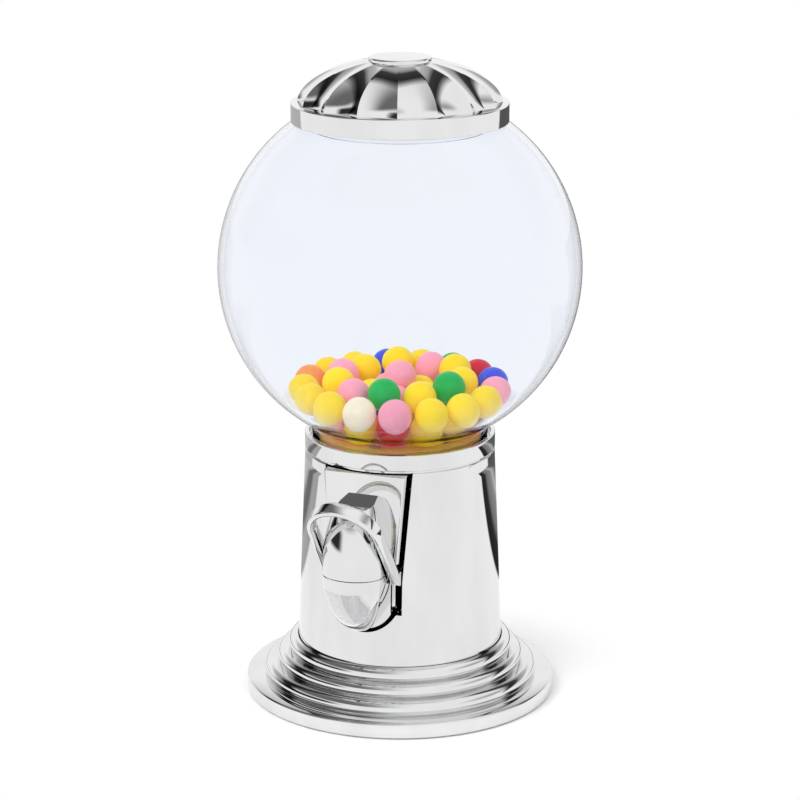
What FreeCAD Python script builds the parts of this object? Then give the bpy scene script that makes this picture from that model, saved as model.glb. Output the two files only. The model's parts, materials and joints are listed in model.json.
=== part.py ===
import FreeCAD, Part
import math
import os

# A table gumball machine in polished metal with a glass globe. Millimetres, +Z up, front at -Y.
# The origin is the middle of the face that it stands on.

# Fits
SLIP = 0.05              # radial room of a screw or pin in its hole
SEAT_GAP = 0.2           # room between parts that are screwed together round a curve
RUN_GAP = 0.4            # room beside a part that turns
TRIM_GAP = 1.8           # dark line round the front panel in its cut-out
NEAR = 0.01              # two heights closer than this are the same

# Screws
SCREW_RADIUS = 1.4
SCREW_HEAD = SCREW_RADIUS + 1.2
SCREW_HEAD_HEIGHT = 1.3
SCREW_SPARE = 0.5        # a screw stops this far short of the end of its hole
SMALL_SCREW = 0.9
SMALL_HEAD = SMALL_SCREW + 0.8

# Column
COLUMN_TOP_RADIUS = 45.0
COLUMN_TAPER = 4.2
COLUMN_HEIGHT = 99.7
COLUMN_WALL = 2.0
COLUMN_FLANGE_THICK = 3.0
LUG_HEIGHT = 8.0
LUG_WIDTH = 8.0
LUG_ANGLES = (60.0, 120.0, 210.0, 330.0)
COLUMN_BOTTOM_RADIUS = COLUMN_TOP_RADIUS + COLUMN_TAPER
CONE_RATE = COLUMN_TAPER / COLUMN_HEIGHT

# Foot
FOOT_RADIUS = COLUMN_BOTTOM_RADIUS + 24.8
FOOT_LIFT = 0.6          # the metal edge stands this far above the table
FLANGE_TOP = 7.6
FLANGE_ROUND = 0.8
RING_TOPS = (14.2, 20.0, 26.4)
RING_CONTACTS = (COLUMN_BOTTOM_RADIUS + 14.8, COLUMN_BOTTOM_RADIUS + 8.3, COLUMN_BOTTOM_RADIUS + 3.0)
RING_BULGE = 1.5
FOOT_WALL = 2.6
LEDGE_TOP = RING_TOPS[1]
LEDGE_THICK = 3.0
BOTTOM_SCREW_CIRCLE = COLUMN_BOTTOM_RADIUS - 8.7
LEDGE_INNER = BOTTOM_SCREW_CIRCLE - 4.5
COLUMN_FLANGE_INNER = BOTTOM_SCREW_CIRCLE - SCREW_RADIUS - 0.6
BOSS_RADIUS = SCREW_RADIUS + 2.6
BOSS_HOLE = 9.0
COVER_THICK = 1.5
COVER_RIM = 3.5          # width of the foot's edge round the cover
COVER_ANGLES = (45.0, 135.0, 225.0, 315.0)
COLUMN_SCREW_ANGLES = (0.0, 90.0, 180.0, 270.0)
FELT_TOP = 1.5
FELT_INNER = BOTTOM_SCREW_CIRCLE + BOSS_RADIUS + 1.5
FELT_OUTER = FOOT_RADIUS - COVER_RIM - 2.0
COVER_TOP = FELT_TOP + COVER_THICK
COLUMN_TOP = LEDGE_TOP + COLUMN_HEIGHT

# Seat ring and its deck
SEAT_RADIUS = COLUMN_TOP_RADIUS + 0.1
SEAT_WALL = 2.0
GROOVE_RADIUS = COLUMN_TOP_RADIUS - 0.8
GROOVE_HEIGHT = 1.0
SEAT_HEIGHT = 7.7
DECK_THICK = 3.0
SEAT_BOTTOM = COLUMN_TOP + GROOVE_HEIGHT
SEAT_TOP = SEAT_BOTTOM + SEAT_HEIGHT
DECK_TOP = COLUMN_TOP + DECK_THICK
POST_ANGLES = (30.0, 150.0, 270.0)
HANGER_ANGLES = (0.0, 180.0)

# Glass globe
GLOBE_RADIUS = 85.2
GLASS_WALL = 2.8
NECK_RADIUS = SEAT_RADIUS - SEAT_WALL - 1.6
NECK_RISE = 9.69         # from the deck to the height where the neck runs into the sphere
MOUTH_OUTER = 46.49
GASKET_THICK = 0.7
LIP_THICK = 3.0
LIP_INNER = NECK_RADIUS - 6.5
NECK_BORE = NECK_RADIUS - GLASS_WALL
GLOBE_INSIDE = GLOBE_RADIUS - GLASS_WALL
GLOBE_CENTRE = DECK_TOP + NECK_RISE + math.sqrt(GLOBE_RADIUS ** 2 - NECK_RADIUS ** 2)
MOUTH_RISE = math.sqrt(GLOBE_RADIUS ** 2 - MOUTH_OUTER ** 2)
MOUTH_HEIGHT = GLOBE_CENTRE + MOUTH_RISE
MOUTH_RADIUS = math.sqrt(GLOBE_INSIDE ** 2 - MOUTH_RISE ** 2)
LIP_BOTTOM = DECK_TOP + GASKET_THICK
LIP_TOP = LIP_BOTTOM + LIP_THICK

# Gumballs
BALL_RADIUS = 7.875
BALL_ROOM = 0.08
BALL_PITCH = 2 * BALL_RADIUS + BALL_ROOM
BALL_AWAY = BALL_RADIUS + BALL_ROOM

# Hopper and the posts that hold it
HOPPER_WALL = 1.5
HOPPER_DROP = 12.1
THROAT_LENGTH = 4.0
THROAT_RADIUS = BALL_RADIUS + 1.875
POST_RADIUS = SCREW_RADIUS + 1.4
DECK_SCREW_CIRCLE = LIP_INNER - POST_RADIUS - RUN_GAP
DECK_INNER = DECK_SCREW_CIRCLE - POST_RADIUS - 0.5
HOPPER_FLAT_INNER = DECK_INNER - 0.5
POST_TOP = LIP_TOP + SEAT_GAP
HOPPER_FLAT = POST_TOP + HOPPER_WALL
THROAT_TOP = HOPPER_FLAT - HOPPER_DROP
THROAT_BOTTOM = THROAT_TOP - THROAT_LENGTH
HOPPER_RATE = HOPPER_DROP / (HOPPER_FLAT_INNER - THROAT_RADIUS)

# Lever, its shaft and the gate that it rocks
SHAFT_RADIUS = 2.5
SHAFT_FLAT = 0.6
SHAFT_PROUD = 0.6
BUSH_WALL = 1.5
BUSH_FLANGE = 1.0
BUSH_RADIUS = SHAFT_RADIUS + SLIP + BUSH_WALL
BUSH_FLANGE_RADIUS = BUSH_RADIUS + 1.35
HUB_RADIUS = SHAFT_RADIUS + 3.1
NUT_HEIGHT = 4.0
NUT_ACROSS = 2 * SHAFT_RADIUS + 3.0
ROCKER_HUB = SHAFT_RADIUS + 2.5
ROCKER_HALF = 2.6
ARM = 3.0                # half depth of the rocker's arms at the hub
ARM_CORNER = 2.0
FINGER_AT = 9.0
FINGER_HIGH = 6.0
FINGER_THICK = 2.0
FINGER_SWEEP = 8.0
KEEPER_AT = -12.3
KEEPER_LOW = 3.0
KEEPER_THICK = 1.6
KEEPER_SWEEP = 8.6
SWEEP_BACK = 2.2
TAIL_AT = (-13.0, -6.0)
TAIL_EYE = 1.0
EYE_WALL = 1.2
TAIL_HALF = 1.0
PIN_RADIUS = 0.8
PIN_X = 6.0
SPRING_WIRE = 0.4
SPRING_TURNS = 10
SPRING_RADIUS = 2.2
SPRING_DROP = 23.85      # from the shaft's axis to the spring's fixed pin
SPRING_PIN_RADIUS = 1.2

# Chute under the throat
CHUTE_SLOPE = 24.0
CHUTE_DROP = 38.2        # from the throat's end to the top of the floor at the panel's face
CHUTE_HALF = BALL_RADIUS + 0.825
CHUTE_WALL = 2.0
CHUTE_FLOOR = 1.8
CHUTE_REAR = 9.0
CHUTE_SIDE = 17.0
CHEEK_LIP = 1.0
CHEEK_BELOW = 2.0
CHEEK_MARGIN = 6.0
HANGER_LOW = THROAT_BOTTOM - 12.0
HANGER_THICK = 4.0
HANGER_HALF = 4.0
CHUTE_SILL = THROAT_BOTTOM - CHUTE_DROP
CHUTE_OUTER = CHUTE_HALF + CHUTE_WALL
CHUTE_TOP = THROAT_BOTTOM - RUN_GAP
SLOPE_COS = math.cos(math.radians(CHUTE_SLOPE))
SLOPE_SIN = math.sin(math.radians(CHUTE_SLOPE))
SLOPE_TAN = SLOPE_SIN / SLOPE_COS

# Stirrup of the lever
HUB_START = CHUTE_OUTER + BUSH_FLANGE + RUN_GAP / 2
LEVER_INCLINE = 52.8
LEVER_START = CHUTE_SILL - 3.3   # height where the legs cross the panel's face
LEVER_REACH = 53.0
LEVER_BAR = 3.0
LEVER_INNER = HUB_START + 3.0
LEVER_LOW_HALF = LEVER_INNER + LEVER_BAR
LEVER_HIGH_HALF = LEVER_LOW_HALF - 0.2
LEVER_DEPTH = 6.8
LEVER_CROWN = 19.6
LEVER_ROUND = 1.2
ELBOW_TOP = 0.7          # the leg meets the hub at these shares of its radius
ELBOW_LOW = 0.9
ELBOW_BACK = 3.0         # the leg's heel, in half depths of the bar
ELBOW_DROP = 3.2
SHAFT_HALF = LEVER_LOW_HALF + NUT_HEIGHT + SHAFT_PROUD
SHIELD_THICK = 1.6       # plate on each leg that fills the panel's notch below it
SHIELD_SINK = 0.2        # the shield lies this far behind the panel's face

# Front panel: its flat face leans back with the column
FACE_PROUD = 0.61        # the face stands this far outside the column
PANEL_TOP_HALF = 20.0
PANEL_LOW_HALF = 16.0
PANEL_PLATE = 2.0
PANEL_WALL = 1.6
PANEL_DEPTH = 12.0
PANEL_WAIST = LEVER_INNER - 0.6
PANEL_EAR_LENGTH = 13.0
PANEL_EAR_HALF = 12.0
PANEL_EAR_THICK = 2.0
PANEL_SCREW_X = 8.0
SLOT_LOW = CHUTE_SILL - 22.3
SLOT_HIGH = CHUTE_SILL + 3.6
WINDOW_HALF = CHUTE_HALF + 0.7
WINDOW_LOW = CHUTE_SILL - 2.3
WINDOW_HIGH = CHUTE_SILL + 18.7
PANEL_TOP = COLUMN_TOP - RUN_GAP
PANEL_LOW_CENTRE = CHUTE_SILL - 13.5
FACE_AT_TOP = COLUMN_TOP_RADIUS + FACE_PROUD
FACE_FOOT = FACE_AT_TOP + CONE_RATE * COLUMN_TOP
FACE_TILT = math.degrees(math.atan(CONE_RATE))
PANEL_SCREW_Y = -FACE_AT_TOP + 8.1
EAR_BOTTOM = COLUMN_TOP - PANEL_EAR_THICK

# Hood and catch cup on the panel, measured off its face
COVER_WALL = 1.6
COVER_HALF = LEVER_INNER - 0.6
COVER_STRAIGHT = 12.0    # the sides run straight out this far before they round into the front
COVER_DEPTH = 24.0
HOOD_LOW = CHUTE_SILL + 0.2
HOOD_WAIST = HOOD_LOW + 6.0      # the hood narrows above this height
HOOD_RISE = 34.3
HOOD_TURNS = (0.0, 15.0, 30.0, 45.0, 58.0, 70.0, 78.0)
HOOD_TOP = HOOD_LOW + 35.5
HOOD_SLOPE = 0.27
CUP_GAP = 0.4
CUP_DROP = 29.5
CUP_LEVELS = 7
CUP_END_ANGLE = 76.0
CUP_BAND = 5.2
CUP_MOUTH_HALF = COVER_HALF - 2.5
CUP_MOUTH_TALL = 18.9
CUP_MOUTH_SAG = 1.2
CUP_MOUTH_BACK = 8.0
CUP_RIM = HOOD_LOW - CUP_GAP
COVER_BOSS_RADIUS = SMALL_SCREW + 1.3
COVER_HOLE = 4.0
HOOD_BOSS_X = 6.2
HOOD_BOSS_HEIGHT = HOOD_LOW + 24.5
CUP_BOSS_X = COVER_HALF - COVER_WALL - COVER_BOSS_RADIUS + 0.5
CUP_BOSS_HEIGHT = HOOD_LOW - 4.5
CUP_BOSS_LENGTH = 5.0

# Where the shaft, the spring and the chute's front stand
PIVOT_SHORT = 20.0       # along Y from the panel's face to the floor above the shaft
PIVOT_DROP = ROCKER_HUB + CHUTE_FLOOR + 0.7
SILL_Y = -(FACE_FOOT - CONE_RATE * CHUTE_SILL)
PIVOT_Y = SILL_Y + PIVOT_SHORT + PIVOT_DROP * SLOPE_SIN
PIVOT_Z = CHUTE_SILL + PIVOT_SHORT * SLOPE_TAN - PIVOT_DROP * SLOPE_COS
SPRING_PIN_HEIGHT = PIVOT_Z - SPRING_DROP
CHUTE_FRONT = -(FACE_FOOT - CONE_RATE * (CHUTE_SILL + CHUTE_SIDE)) + PANEL_PLATE + SEAT_GAP

# Lid
LID_RADIUS = MOUTH_OUTER + 3.9
LID_GAP = 0.5
LID_WALL = 1.8
BAND_TOP = MOUTH_HEIGHT + 7.1
DOME_RADIUS = LID_RADIUS - 2.9
DOME_RISE = 21.4
DOME_BASE = BAND_TOP - 1.3
FLUTES = 16
FLUTE_LOW = 2.2
FLUTE_HIGH = 0.7
FLUTE_TURN = 20.0        # degrees that one ridge stands round from the front
DOME_LEVELS = 9
KNOB_RADIUS = 14.5
KNOB_THICK = 2.4
KNOB_SINK = 0.6
KNOB_THREAD = 1.6
DOME_CROWN = KNOB_RADIUS + 1.1
KNOB_SEAT = DOME_BASE + DOME_RISE * math.sqrt(1 - (DOME_CROWN / DOME_RADIUS) ** 2) - KNOB_SINK
KNOB_TOP = KNOB_SEAT + KNOB_THICK
PLUG_DROP = 6.0
PLUG_WALL = 2.0
LINER_THICK = 1.6
LINER_TOP = MOUTH_HEIGHT + SEAT_GAP + LINER_THICK
LINER_RIM = MOUTH_OUTER - SEAT_GAP

# Directions, and a length beyond every part for cutters
UP = FreeCAD.Vector(0, 0, 1)
DOWN = FreeCAD.Vector(0, 0, -1)
AXIS = FreeCAD.Vector(0, 0, 0)
SIDEWAYS = FreeCAD.Vector(1, 0, 0)
FORWARD = FreeCAD.Vector(0, -1, 0)
FAR = 400.0


def point(x, y, z):
    return FreeCAD.Vector(x, y, z)


def around(radius, angle, height):
    """A point at a radius and an angle about the machine's axis."""
    turn = math.radians(angle)
    return point(radius * math.cos(turn), radius * math.sin(turn), height)


def rod(radius, start, direction, length):
    """A round bar from a point along a direction."""
    return Part.makeCylinder(radius, length, start, direction)


def ring(outer, inner, low, high):
    """A flat ring about the machine's axis."""
    disc = rod(outer, point(0, 0, low), UP, high - low)
    return disc.cut(rod(inner, point(0, 0, low), UP, high - low))


def block(low, high):
    """A box between two corners."""
    size = high.sub(low)
    return Part.makeBox(size.x, size.y, size.z, low)


def turned(edges):
    """A solid of revolution about the machine's axis from a closed outline of edges."""
    face = Part.Face(Part.Wire(edges))
    return face.revolve(AXIS, UP, 360)


def outline(corners):
    """Edges of a closed outline in the plane of radius and height. A corner of four numbers
    is an arc's end with the point that the arc passes."""
    edges = []
    here = point(corners[-1][0], 0, corners[-1][1])
    for corner in corners:
        there = point(corner[0], 0, corner[1])
        if len(corner) == 4:
            middle = point(corner[2], 0, corner[3])
            edges.append(Part.Arc(here, middle, there).toShape())
        else:
            edges.append(Part.makeLine(here, there))
        here = there
    return edges


def side_plate(corners, low_x, high_x):
    """A plate across X from a polygon of (y, z) corners."""
    points = [point(low_x, y, z) for y, z in corners]
    face = Part.Face(Part.makePolygon(points + points[:1]))
    return face.extrude(point(high_x - low_x, 0, 0))


def cross_bore(radius, y, z):
    """A cutter for a hole right across the machine along X."""
    return rod(radius, point(-FAR / 10, y, z), SIDEWAYS, FAR / 5)


def both_sides(shape):
    """A shape and its mirror image across the middle plane."""
    return [shape, shape.mirror(AXIS, SIDEWAYS)]


def joined(shapes):
    whole = shapes[0].fuse(shapes[1:])
    return whole.removeSplitter()


def on_face(shape):
    """Moves a shape drawn with the panel's face in the plane Y = 0 onto the leaning face."""
    moved = shape.copy()
    moved.rotate(AXIS, SIDEWAYS, -FACE_TILT)
    moved.translate(point(0, -FACE_FOOT, 0))
    return moved


def slope_point(along, above):
    """(y, z) of a point given along the chute and above the shaft's axis."""
    y = PIVOT_Y - along * SLOPE_COS - above * SLOPE_SIN
    z = PIVOT_Z - along * SLOPE_SIN + above * SLOPE_COS
    return (y, z)


def slope_plate(corners, half):
    return side_plate([slope_point(along, above) for along, above in corners], -half, half)


def screw(head_at, direction, length, shank=SCREW_RADIUS, head=SCREW_HEAD):
    """A screw whose head sits on the point that is given, with its shank along the direction."""
    back = head_at.sub(point(direction.x, direction.y, direction.z).multiply(SCREW_HEAD_HEIGHT))
    return rod(head, back, direction, SCREW_HEAD_HEIGHT).fuse(rod(shank, head_at, direction, length))


def screw_hole(head_at, direction, length, shank=SCREW_RADIUS):
    return rod(shank + SLIP, head_at, direction, length)


# Foot, its cover, felt and screws

def foot_profile():
    """Outer steps of beads, and a hollow that follows them one wall thickness inside."""
    lows = (FLANGE_TOP,) + RING_TOPS[:-1]
    corners = [(FOOT_RADIUS - COVER_RIM, FOOT_LIFT), (FOOT_RADIUS - FLANGE_ROUND, FOOT_LIFT)]
    slack = FLANGE_ROUND * (1 - math.sqrt(0.5))
    corners.append((FOOT_RADIUS, FOOT_LIFT + FLANGE_ROUND, FOOT_RADIUS - slack, FOOT_LIFT + slack))
    corners.append((FOOT_RADIUS, FLANGE_TOP - FLANGE_ROUND))
    corners.append((FOOT_RADIUS - FLANGE_ROUND, FLANGE_TOP, FOOT_RADIUS - slack, FLANGE_TOP - slack))
    insides = RING_CONTACTS[1:] + (COLUMN_BOTTOM_RADIUS + SEAT_GAP,)
    for contact, low, top, inside in zip(RING_CONTACTS, lows, RING_TOPS, insides):
        corners.append((contact, low))
        crest = contact + RING_BULGE
        neck = min(contact - RING_BULGE, (contact + inside) / 2)
        corners.append((neck, top, crest, (low + top) / 2))
    corners.append((COLUMN_BOTTOM_RADIUS + SEAT_GAP, RING_TOPS[-1]))
    corners.append((COLUMN_BOTTOM_RADIUS + SEAT_GAP, LEDGE_TOP))
    corners.append((LEDGE_INNER, LEDGE_TOP))
    corners.append((LEDGE_INNER, LEDGE_TOP - LEDGE_THICK))
    third = RING_CONTACTS[1] - FOOT_WALL
    second = RING_CONTACTS[0] - FOOT_WALL
    corners.append((third, LEDGE_TOP - LEDGE_THICK))
    corners.append((third, RING_TOPS[0] - FOOT_WALL))
    corners.append((second, RING_TOPS[0] - FOOT_WALL))
    corners.append((second, FLANGE_TOP - FOOT_WALL))
    corners.append((FOOT_RADIUS - COVER_RIM, FLANGE_TOP - FOOT_WALL))
    return corners


def make_foot():
    foot = turned(outline(foot_profile()))
    for angle in COVER_ANGLES:
        low = around(BOTTOM_SCREW_CIRCLE, angle, COVER_TOP)
        foot = foot.fuse(rod(BOSS_RADIUS, low, UP, LEDGE_TOP - LEDGE_THICK - COVER_TOP))
    for angle in COVER_ANGLES:
        low = around(BOTTOM_SCREW_CIRCLE, angle, COVER_TOP)
        foot = foot.cut(screw_hole(low, UP, BOSS_HOLE))
    for angle in COLUMN_SCREW_ANGLES:
        low = around(BOTTOM_SCREW_CIRCLE, angle, LEDGE_TOP - LEDGE_THICK)
        foot = foot.cut(screw_hole(low, UP, LEDGE_THICK))
    return foot.removeSplitter()


def make_base_cover():
    cover = rod(FOOT_RADIUS - COVER_RIM - SEAT_GAP, point(0, 0, FELT_TOP), UP, COVER_THICK)
    for angle in COVER_ANGLES:
        cover = cover.cut(screw_hole(around(BOTTOM_SCREW_CIRCLE, angle, FELT_TOP), UP, COVER_THICK))
    return cover


def make_base_screws():
    heads = [around(BOTTOM_SCREW_CIRCLE, angle, FELT_TOP) for angle in COVER_ANGLES]
    return [screw(head, UP, COVER_THICK + BOSS_HOLE - SCREW_SPARE) for head in heads]


def make_column_screws():
    low = LEDGE_TOP - LEDGE_THICK
    heads = [around(BOTTOM_SCREW_CIRCLE, angle, low) for angle in COLUMN_SCREW_ANGLES]
    return [screw(head, UP, LEDGE_THICK + COLUMN_FLANGE_THICK - SCREW_SPARE) for head in heads]


# Column with the cut-out for the front panel

def panel_outline(extra, top_extra):
    """Outline of the panel in its own plane, as a face at Y = 0, grown sideways and at the top."""
    low_half = PANEL_LOW_HALF + extra
    top = PANEL_TOP + top_extra
    widening = (PANEL_TOP_HALF - PANEL_LOW_HALF) / (PANEL_TOP - PANEL_LOW_CENTRE)
    top_half = low_half + widening * (top - PANEL_LOW_CENTRE)
    left_top = point(-top_half, 0, top)
    right_top = point(top_half, 0, top)
    right_low = point(low_half, 0, PANEL_LOW_CENTRE)
    left_low = point(-low_half, 0, PANEL_LOW_CENTRE)
    bottom = point(0, 0, PANEL_LOW_CENTRE - low_half)
    edges = [
        Part.makeLine(left_top, right_top),
        Part.makeLine(right_top, right_low),
        Part.Arc(right_low, bottom, left_low).toShape(),
        Part.makeLine(left_low, left_top),
    ]
    return Part.Face(Part.Wire(edges))


def leg_slots(inner, outer, low, high):
    """Two boxes through the front where the lever's legs pass."""
    slot = block(point(inner, -FAR, low), point(outer, FAR / 4, high))
    return both_sides(slot)


def make_column():
    low = LEDGE_TOP
    inner_bottom = COLUMN_BOTTOM_RADIUS - COLUMN_WALL
    inner_top = COLUMN_TOP_RADIUS - COLUMN_WALL
    profile = [
        (COLUMN_BOTTOM_RADIUS, low),
        (COLUMN_TOP_RADIUS, COLUMN_TOP),
        (inner_top, COLUMN_TOP),
        (inner_bottom - CONE_RATE * COLUMN_FLANGE_THICK, low + COLUMN_FLANGE_THICK),
        (COLUMN_FLANGE_INNER, low + COLUMN_FLANGE_THICK),
        (COLUMN_FLANGE_INNER, low),
    ]
    column = turned(outline(profile))
    half_wall = COLUMN_WALL / 2
    core = Part.makeCone(inner_bottom + half_wall, inner_top + half_wall, COLUMN_HEIGHT, point(0, 0, low))
    for angle in LUG_ANGLES:
        lug = block(point(DECK_SCREW_CIRCLE - LUG_WIDTH / 2, -LUG_WIDTH / 2, COLUMN_TOP - LUG_HEIGHT),
                    point(COLUMN_BOTTOM_RADIUS, LUG_WIDTH / 2, COLUMN_TOP))
        lug.rotate(AXIS, UP, angle)
        column = column.fuse(lug.common(core))
    for angle in LUG_ANGLES:
        hole = screw_hole(around(DECK_SCREW_CIRCLE, angle, COLUMN_TOP - LUG_HEIGHT), UP, LUG_HEIGHT)
        column = column.cut(hole)
    for angle in COLUMN_SCREW_ANGLES:
        column = column.cut(screw_hole(around(BOTTOM_SCREW_CIRCLE, angle, low), UP, COLUMN_FLANGE_THICK))
    front = block(point(-FAR, -FAR, 0), point(FAR, 0, FAR))
    cutout = panel_outline(TRIM_GAP, FAR / 4).extrude(point(0, FAR / 8, 0))
    cutout.translate(point(0, -FAR / 40, 0))
    column = column.cut(on_face(cutout).common(front))
    for slot in leg_slots(0, LEVER_LOW_HALF + RUN_GAP, SLOT_LOW, SLOT_HIGH):
        column = column.cut(slot.common(front))
    return column.removeSplitter()


# Seat ring: the bright band, the deck that carries the globe, and posts for the hopper

def make_seat_ring():
    profile = [
        (SEAT_RADIUS, SEAT_BOTTOM),
        (SEAT_RADIUS, SEAT_TOP),
        (SEAT_RADIUS - SEAT_WALL, SEAT_TOP),
        (SEAT_RADIUS - SEAT_WALL, DECK_TOP),
        (DECK_INNER, DECK_TOP),
        (DECK_INNER, COLUMN_TOP),
        (GROOVE_RADIUS, COLUMN_TOP),
        (GROOVE_RADIUS, SEAT_BOTTOM),
    ]
    seat = turned(outline(profile))
    post_height = POST_TOP - COLUMN_TOP
    for angle in POST_ANGLES:
        seat = seat.fuse(rod(POST_RADIUS, around(DECK_SCREW_CIRCLE, angle, COLUMN_TOP), UP, post_height))
    for angle in POST_ANGLES + LUG_ANGLES + HANGER_ANGLES:
        seat = seat.cut(screw_hole(around(DECK_SCREW_CIRCLE, angle, COLUMN_TOP), UP, post_height))
    for hole in panel_screw_holes():
        seat = seat.cut(hole)
    return seat.removeSplitter()


def deck_screws(angles):
    """Screws down through the deck into the column's lugs or the chute's hangers."""
    length = DECK_THICK + LUG_HEIGHT - SCREW_SPARE
    return [screw(around(DECK_SCREW_CIRCLE, angle, DECK_TOP), DOWN, length) for angle in angles]


# Front panel: a tray whose walls run back through the column's cut-out

def panel_screw_places():
    return [point(x, PANEL_SCREW_Y, EAR_BOTTOM) for x in (-PANEL_SCREW_X, PANEL_SCREW_X)]


def panel_screw_holes():
    return [screw_hole(place, UP, PANEL_EAR_THICK + DECK_THICK) for place in panel_screw_places()]


def cover_screw_places():
    """Places on the panel's face of the screws that hold the hood and the cup, from behind."""
    places = []
    for x in (-HOOD_BOSS_X, HOOD_BOSS_X):
        places.append((x, HOOD_BOSS_HEIGHT))
    for x in (-CUP_BOSS_X, CUP_BOSS_X):
        places.append((x, CUP_BOSS_HEIGHT))
    return places


def make_front_panel():
    plate = panel_outline(0, 0).extrude(point(0, PANEL_DEPTH, 0))
    hollow = panel_outline(-PANEL_WALL, FAR / 4).extrude(point(0, FAR / 8, 0))
    hollow.translate(point(0, PANEL_PLATE, 0))
    tray = plate.cut(hollow)
    low_corner = point(-WINDOW_HALF, -FAR / 40, WINDOW_LOW)
    high_corner = point(WINDOW_HALF, FAR / 40, WINDOW_HIGH)
    tray = tray.cut(block(low_corner, high_corner))
    for x, height in cover_screw_places():
        tray = tray.cut(screw_hole(point(x, PANEL_PLATE, height), FORWARD, PANEL_PLATE, SMALL_SCREW))
    panel = on_face(tray)
    for slot in leg_slots(PANEL_WAIST, FAR / 10, SLOT_LOW, SLOT_HIGH):
        panel = panel.cut(slot)
    ear = block(point(-PANEL_EAR_HALF, -FACE_AT_TOP + PANEL_PLATE / 2, EAR_BOTTOM),
                point(PANEL_EAR_HALF, -FACE_AT_TOP + PANEL_PLATE + PANEL_EAR_LENGTH, COLUMN_TOP))
    panel = panel.fuse(ear)
    for hole in panel_screw_holes():
        panel = panel.cut(hole)
    return panel.removeSplitter()


def make_panel_screws():
    length = PANEL_EAR_THICK + DECK_THICK - SCREW_SPARE
    return [screw(place, UP, length) for place in panel_screw_places()]


def make_cover_screws():
    screws = []
    for x, height in cover_screw_places():
        length = PANEL_PLATE + COVER_HOLE - SCREW_SPARE
        one = screw(point(x, PANEL_PLATE, height), FORWARD, length, SMALL_SCREW, SMALL_HEAD)
        screws.append(on_face(one))
    return screws


# Hood over the window, and the catch cup below it

def nose_wire(inset, share, height):
    """Level outline of the hood or cup at a height: straight sides, a round front, and a flat back
    on the panel's face, at a share of its full size."""
    half = (COVER_HALF - inset) * share
    straight = COVER_STRAIGHT * share
    front = (COVER_DEPTH - inset - COVER_STRAIGHT) * share
    corners = [point(-half, 0, height), point(-half, -straight, height),
               point(half, -straight, height), point(half, 0, height)]
    middle = point(0, -straight, height)
    nose = point(0, -straight - front, height)
    if front > half:
        oval = Part.Ellipse(nose, corners[2], middle)
        bow = oval.toShape(-math.pi / 2, math.pi / 2)
    else:
        oval = Part.Ellipse(corners[2], nose, middle)
        bow = oval.toShape(0, math.pi)
    if bow.BoundBox.YMax > -straight + NEAR:
        bow.rotate(middle, UP, 180)
    edges = [Part.makeLine(corners[0], corners[1]), bow, Part.makeLine(corners[2], corners[3]),
             Part.makeLine(corners[3], corners[0])]
    return Part.Wire(Part.sortEdges(edges)[0])


def hood_body(inset):
    """A round nose that closes like an egg towards the top and is cut off by a sloping face."""
    wires = [nose_wire(inset, 1.0, HOOD_LOW)]
    for degrees in HOOD_TURNS:
        turn = math.radians(degrees)
        height = HOOD_WAIST + (HOOD_RISE - inset) * math.sin(turn)
        wires.append(nose_wire(inset, math.cos(turn), height))
    nose = Part.makeLoft(wires, True, False)
    beyond = FAR / 10
    fall = HOOD_SLOPE * beyond
    top = HOOD_TOP - inset
    above = [(beyond, top + fall), (beyond, FAR), (-beyond, FAR), (-beyond, top - fall)]
    return nose.cut(side_plate(above, -beyond, beyond))


def make_hood():
    hood = hood_body(0)
    inside = hood_body(COVER_WALL)
    for x in (-HOOD_BOSS_X, HOOD_BOSS_X):
        inside = inside.cut(rod(COVER_BOSS_RADIUS, point(x, 0, HOOD_BOSS_HEIGHT), FORWARD, COVER_DEPTH))
    hood = hood.cut(inside)
    for x in (-HOOD_BOSS_X, HOOD_BOSS_X):
        hood = hood.cut(screw_hole(point(x, 0, HOOD_BOSS_HEIGHT), FORWARD, COVER_HOLE, SMALL_SCREW))
    return on_face(hood.removeSplitter())


def cup_body(inset):
    """A quarter of a long egg that hangs below its rim and ends in a small flat."""
    wires = []
    for level in range(CUP_LEVELS):
        turn = math.radians(CUP_END_ANGLE) * level / (CUP_LEVELS - 1)
        size = math.cos(turn)
        height = CUP_RIM - (CUP_DROP - inset) * math.sin(turn)
        wires.append(nose_wire(inset, size, height))
    return Part.makeLoft(wires, True, False)


def cup_mouth():
    """Half-moon opening in the front of the cup."""
    edge = CUP_RIM - CUP_BAND
    left = point(-CUP_MOUTH_HALF, 0, edge)
    right = point(CUP_MOUTH_HALF, 0, edge)
    low = point(0, 0, edge - CUP_MOUTH_TALL)
    sag = point(0, 0, edge - CUP_MOUTH_SAG)
    oval = Part.Ellipse(low, right, point(0, 0, edge))
    below = oval.toShape(-math.pi / 2, math.pi / 2)
    above = Part.Arc(right, sag, left).toShape()
    cutter = Part.Face(Part.Wire(Part.sortEdges([below, above])[0])).extrude(point(0, -COVER_DEPTH * 2, 0))
    cutter.translate(point(0, -CUP_MOUTH_BACK, 0))
    return cutter


def make_cup():
    cup = cup_body(0)
    inside = cup_body(COVER_WALL)
    for x in (-CUP_BOSS_X, CUP_BOSS_X):
        inside = inside.cut(rod(COVER_BOSS_RADIUS, point(x, 0, CUP_BOSS_HEIGHT), FORWARD, CUP_BOSS_LENGTH))
    cup = cup.cut(inside).cut(cup_mouth())
    for x in (-CUP_BOSS_X, CUP_BOSS_X):
        cup = cup.cut(screw_hole(point(x, 0, CUP_BOSS_HEIGHT), FORWARD, COVER_HOLE, SMALL_SCREW))
    return on_face(cup.removeSplitter())


# Chute from the throat to the window, with cheeks that carry the shaft

def floor_height(y):
    return CHUTE_SILL + (y - SILL_Y) * SLOPE_TAN


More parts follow.
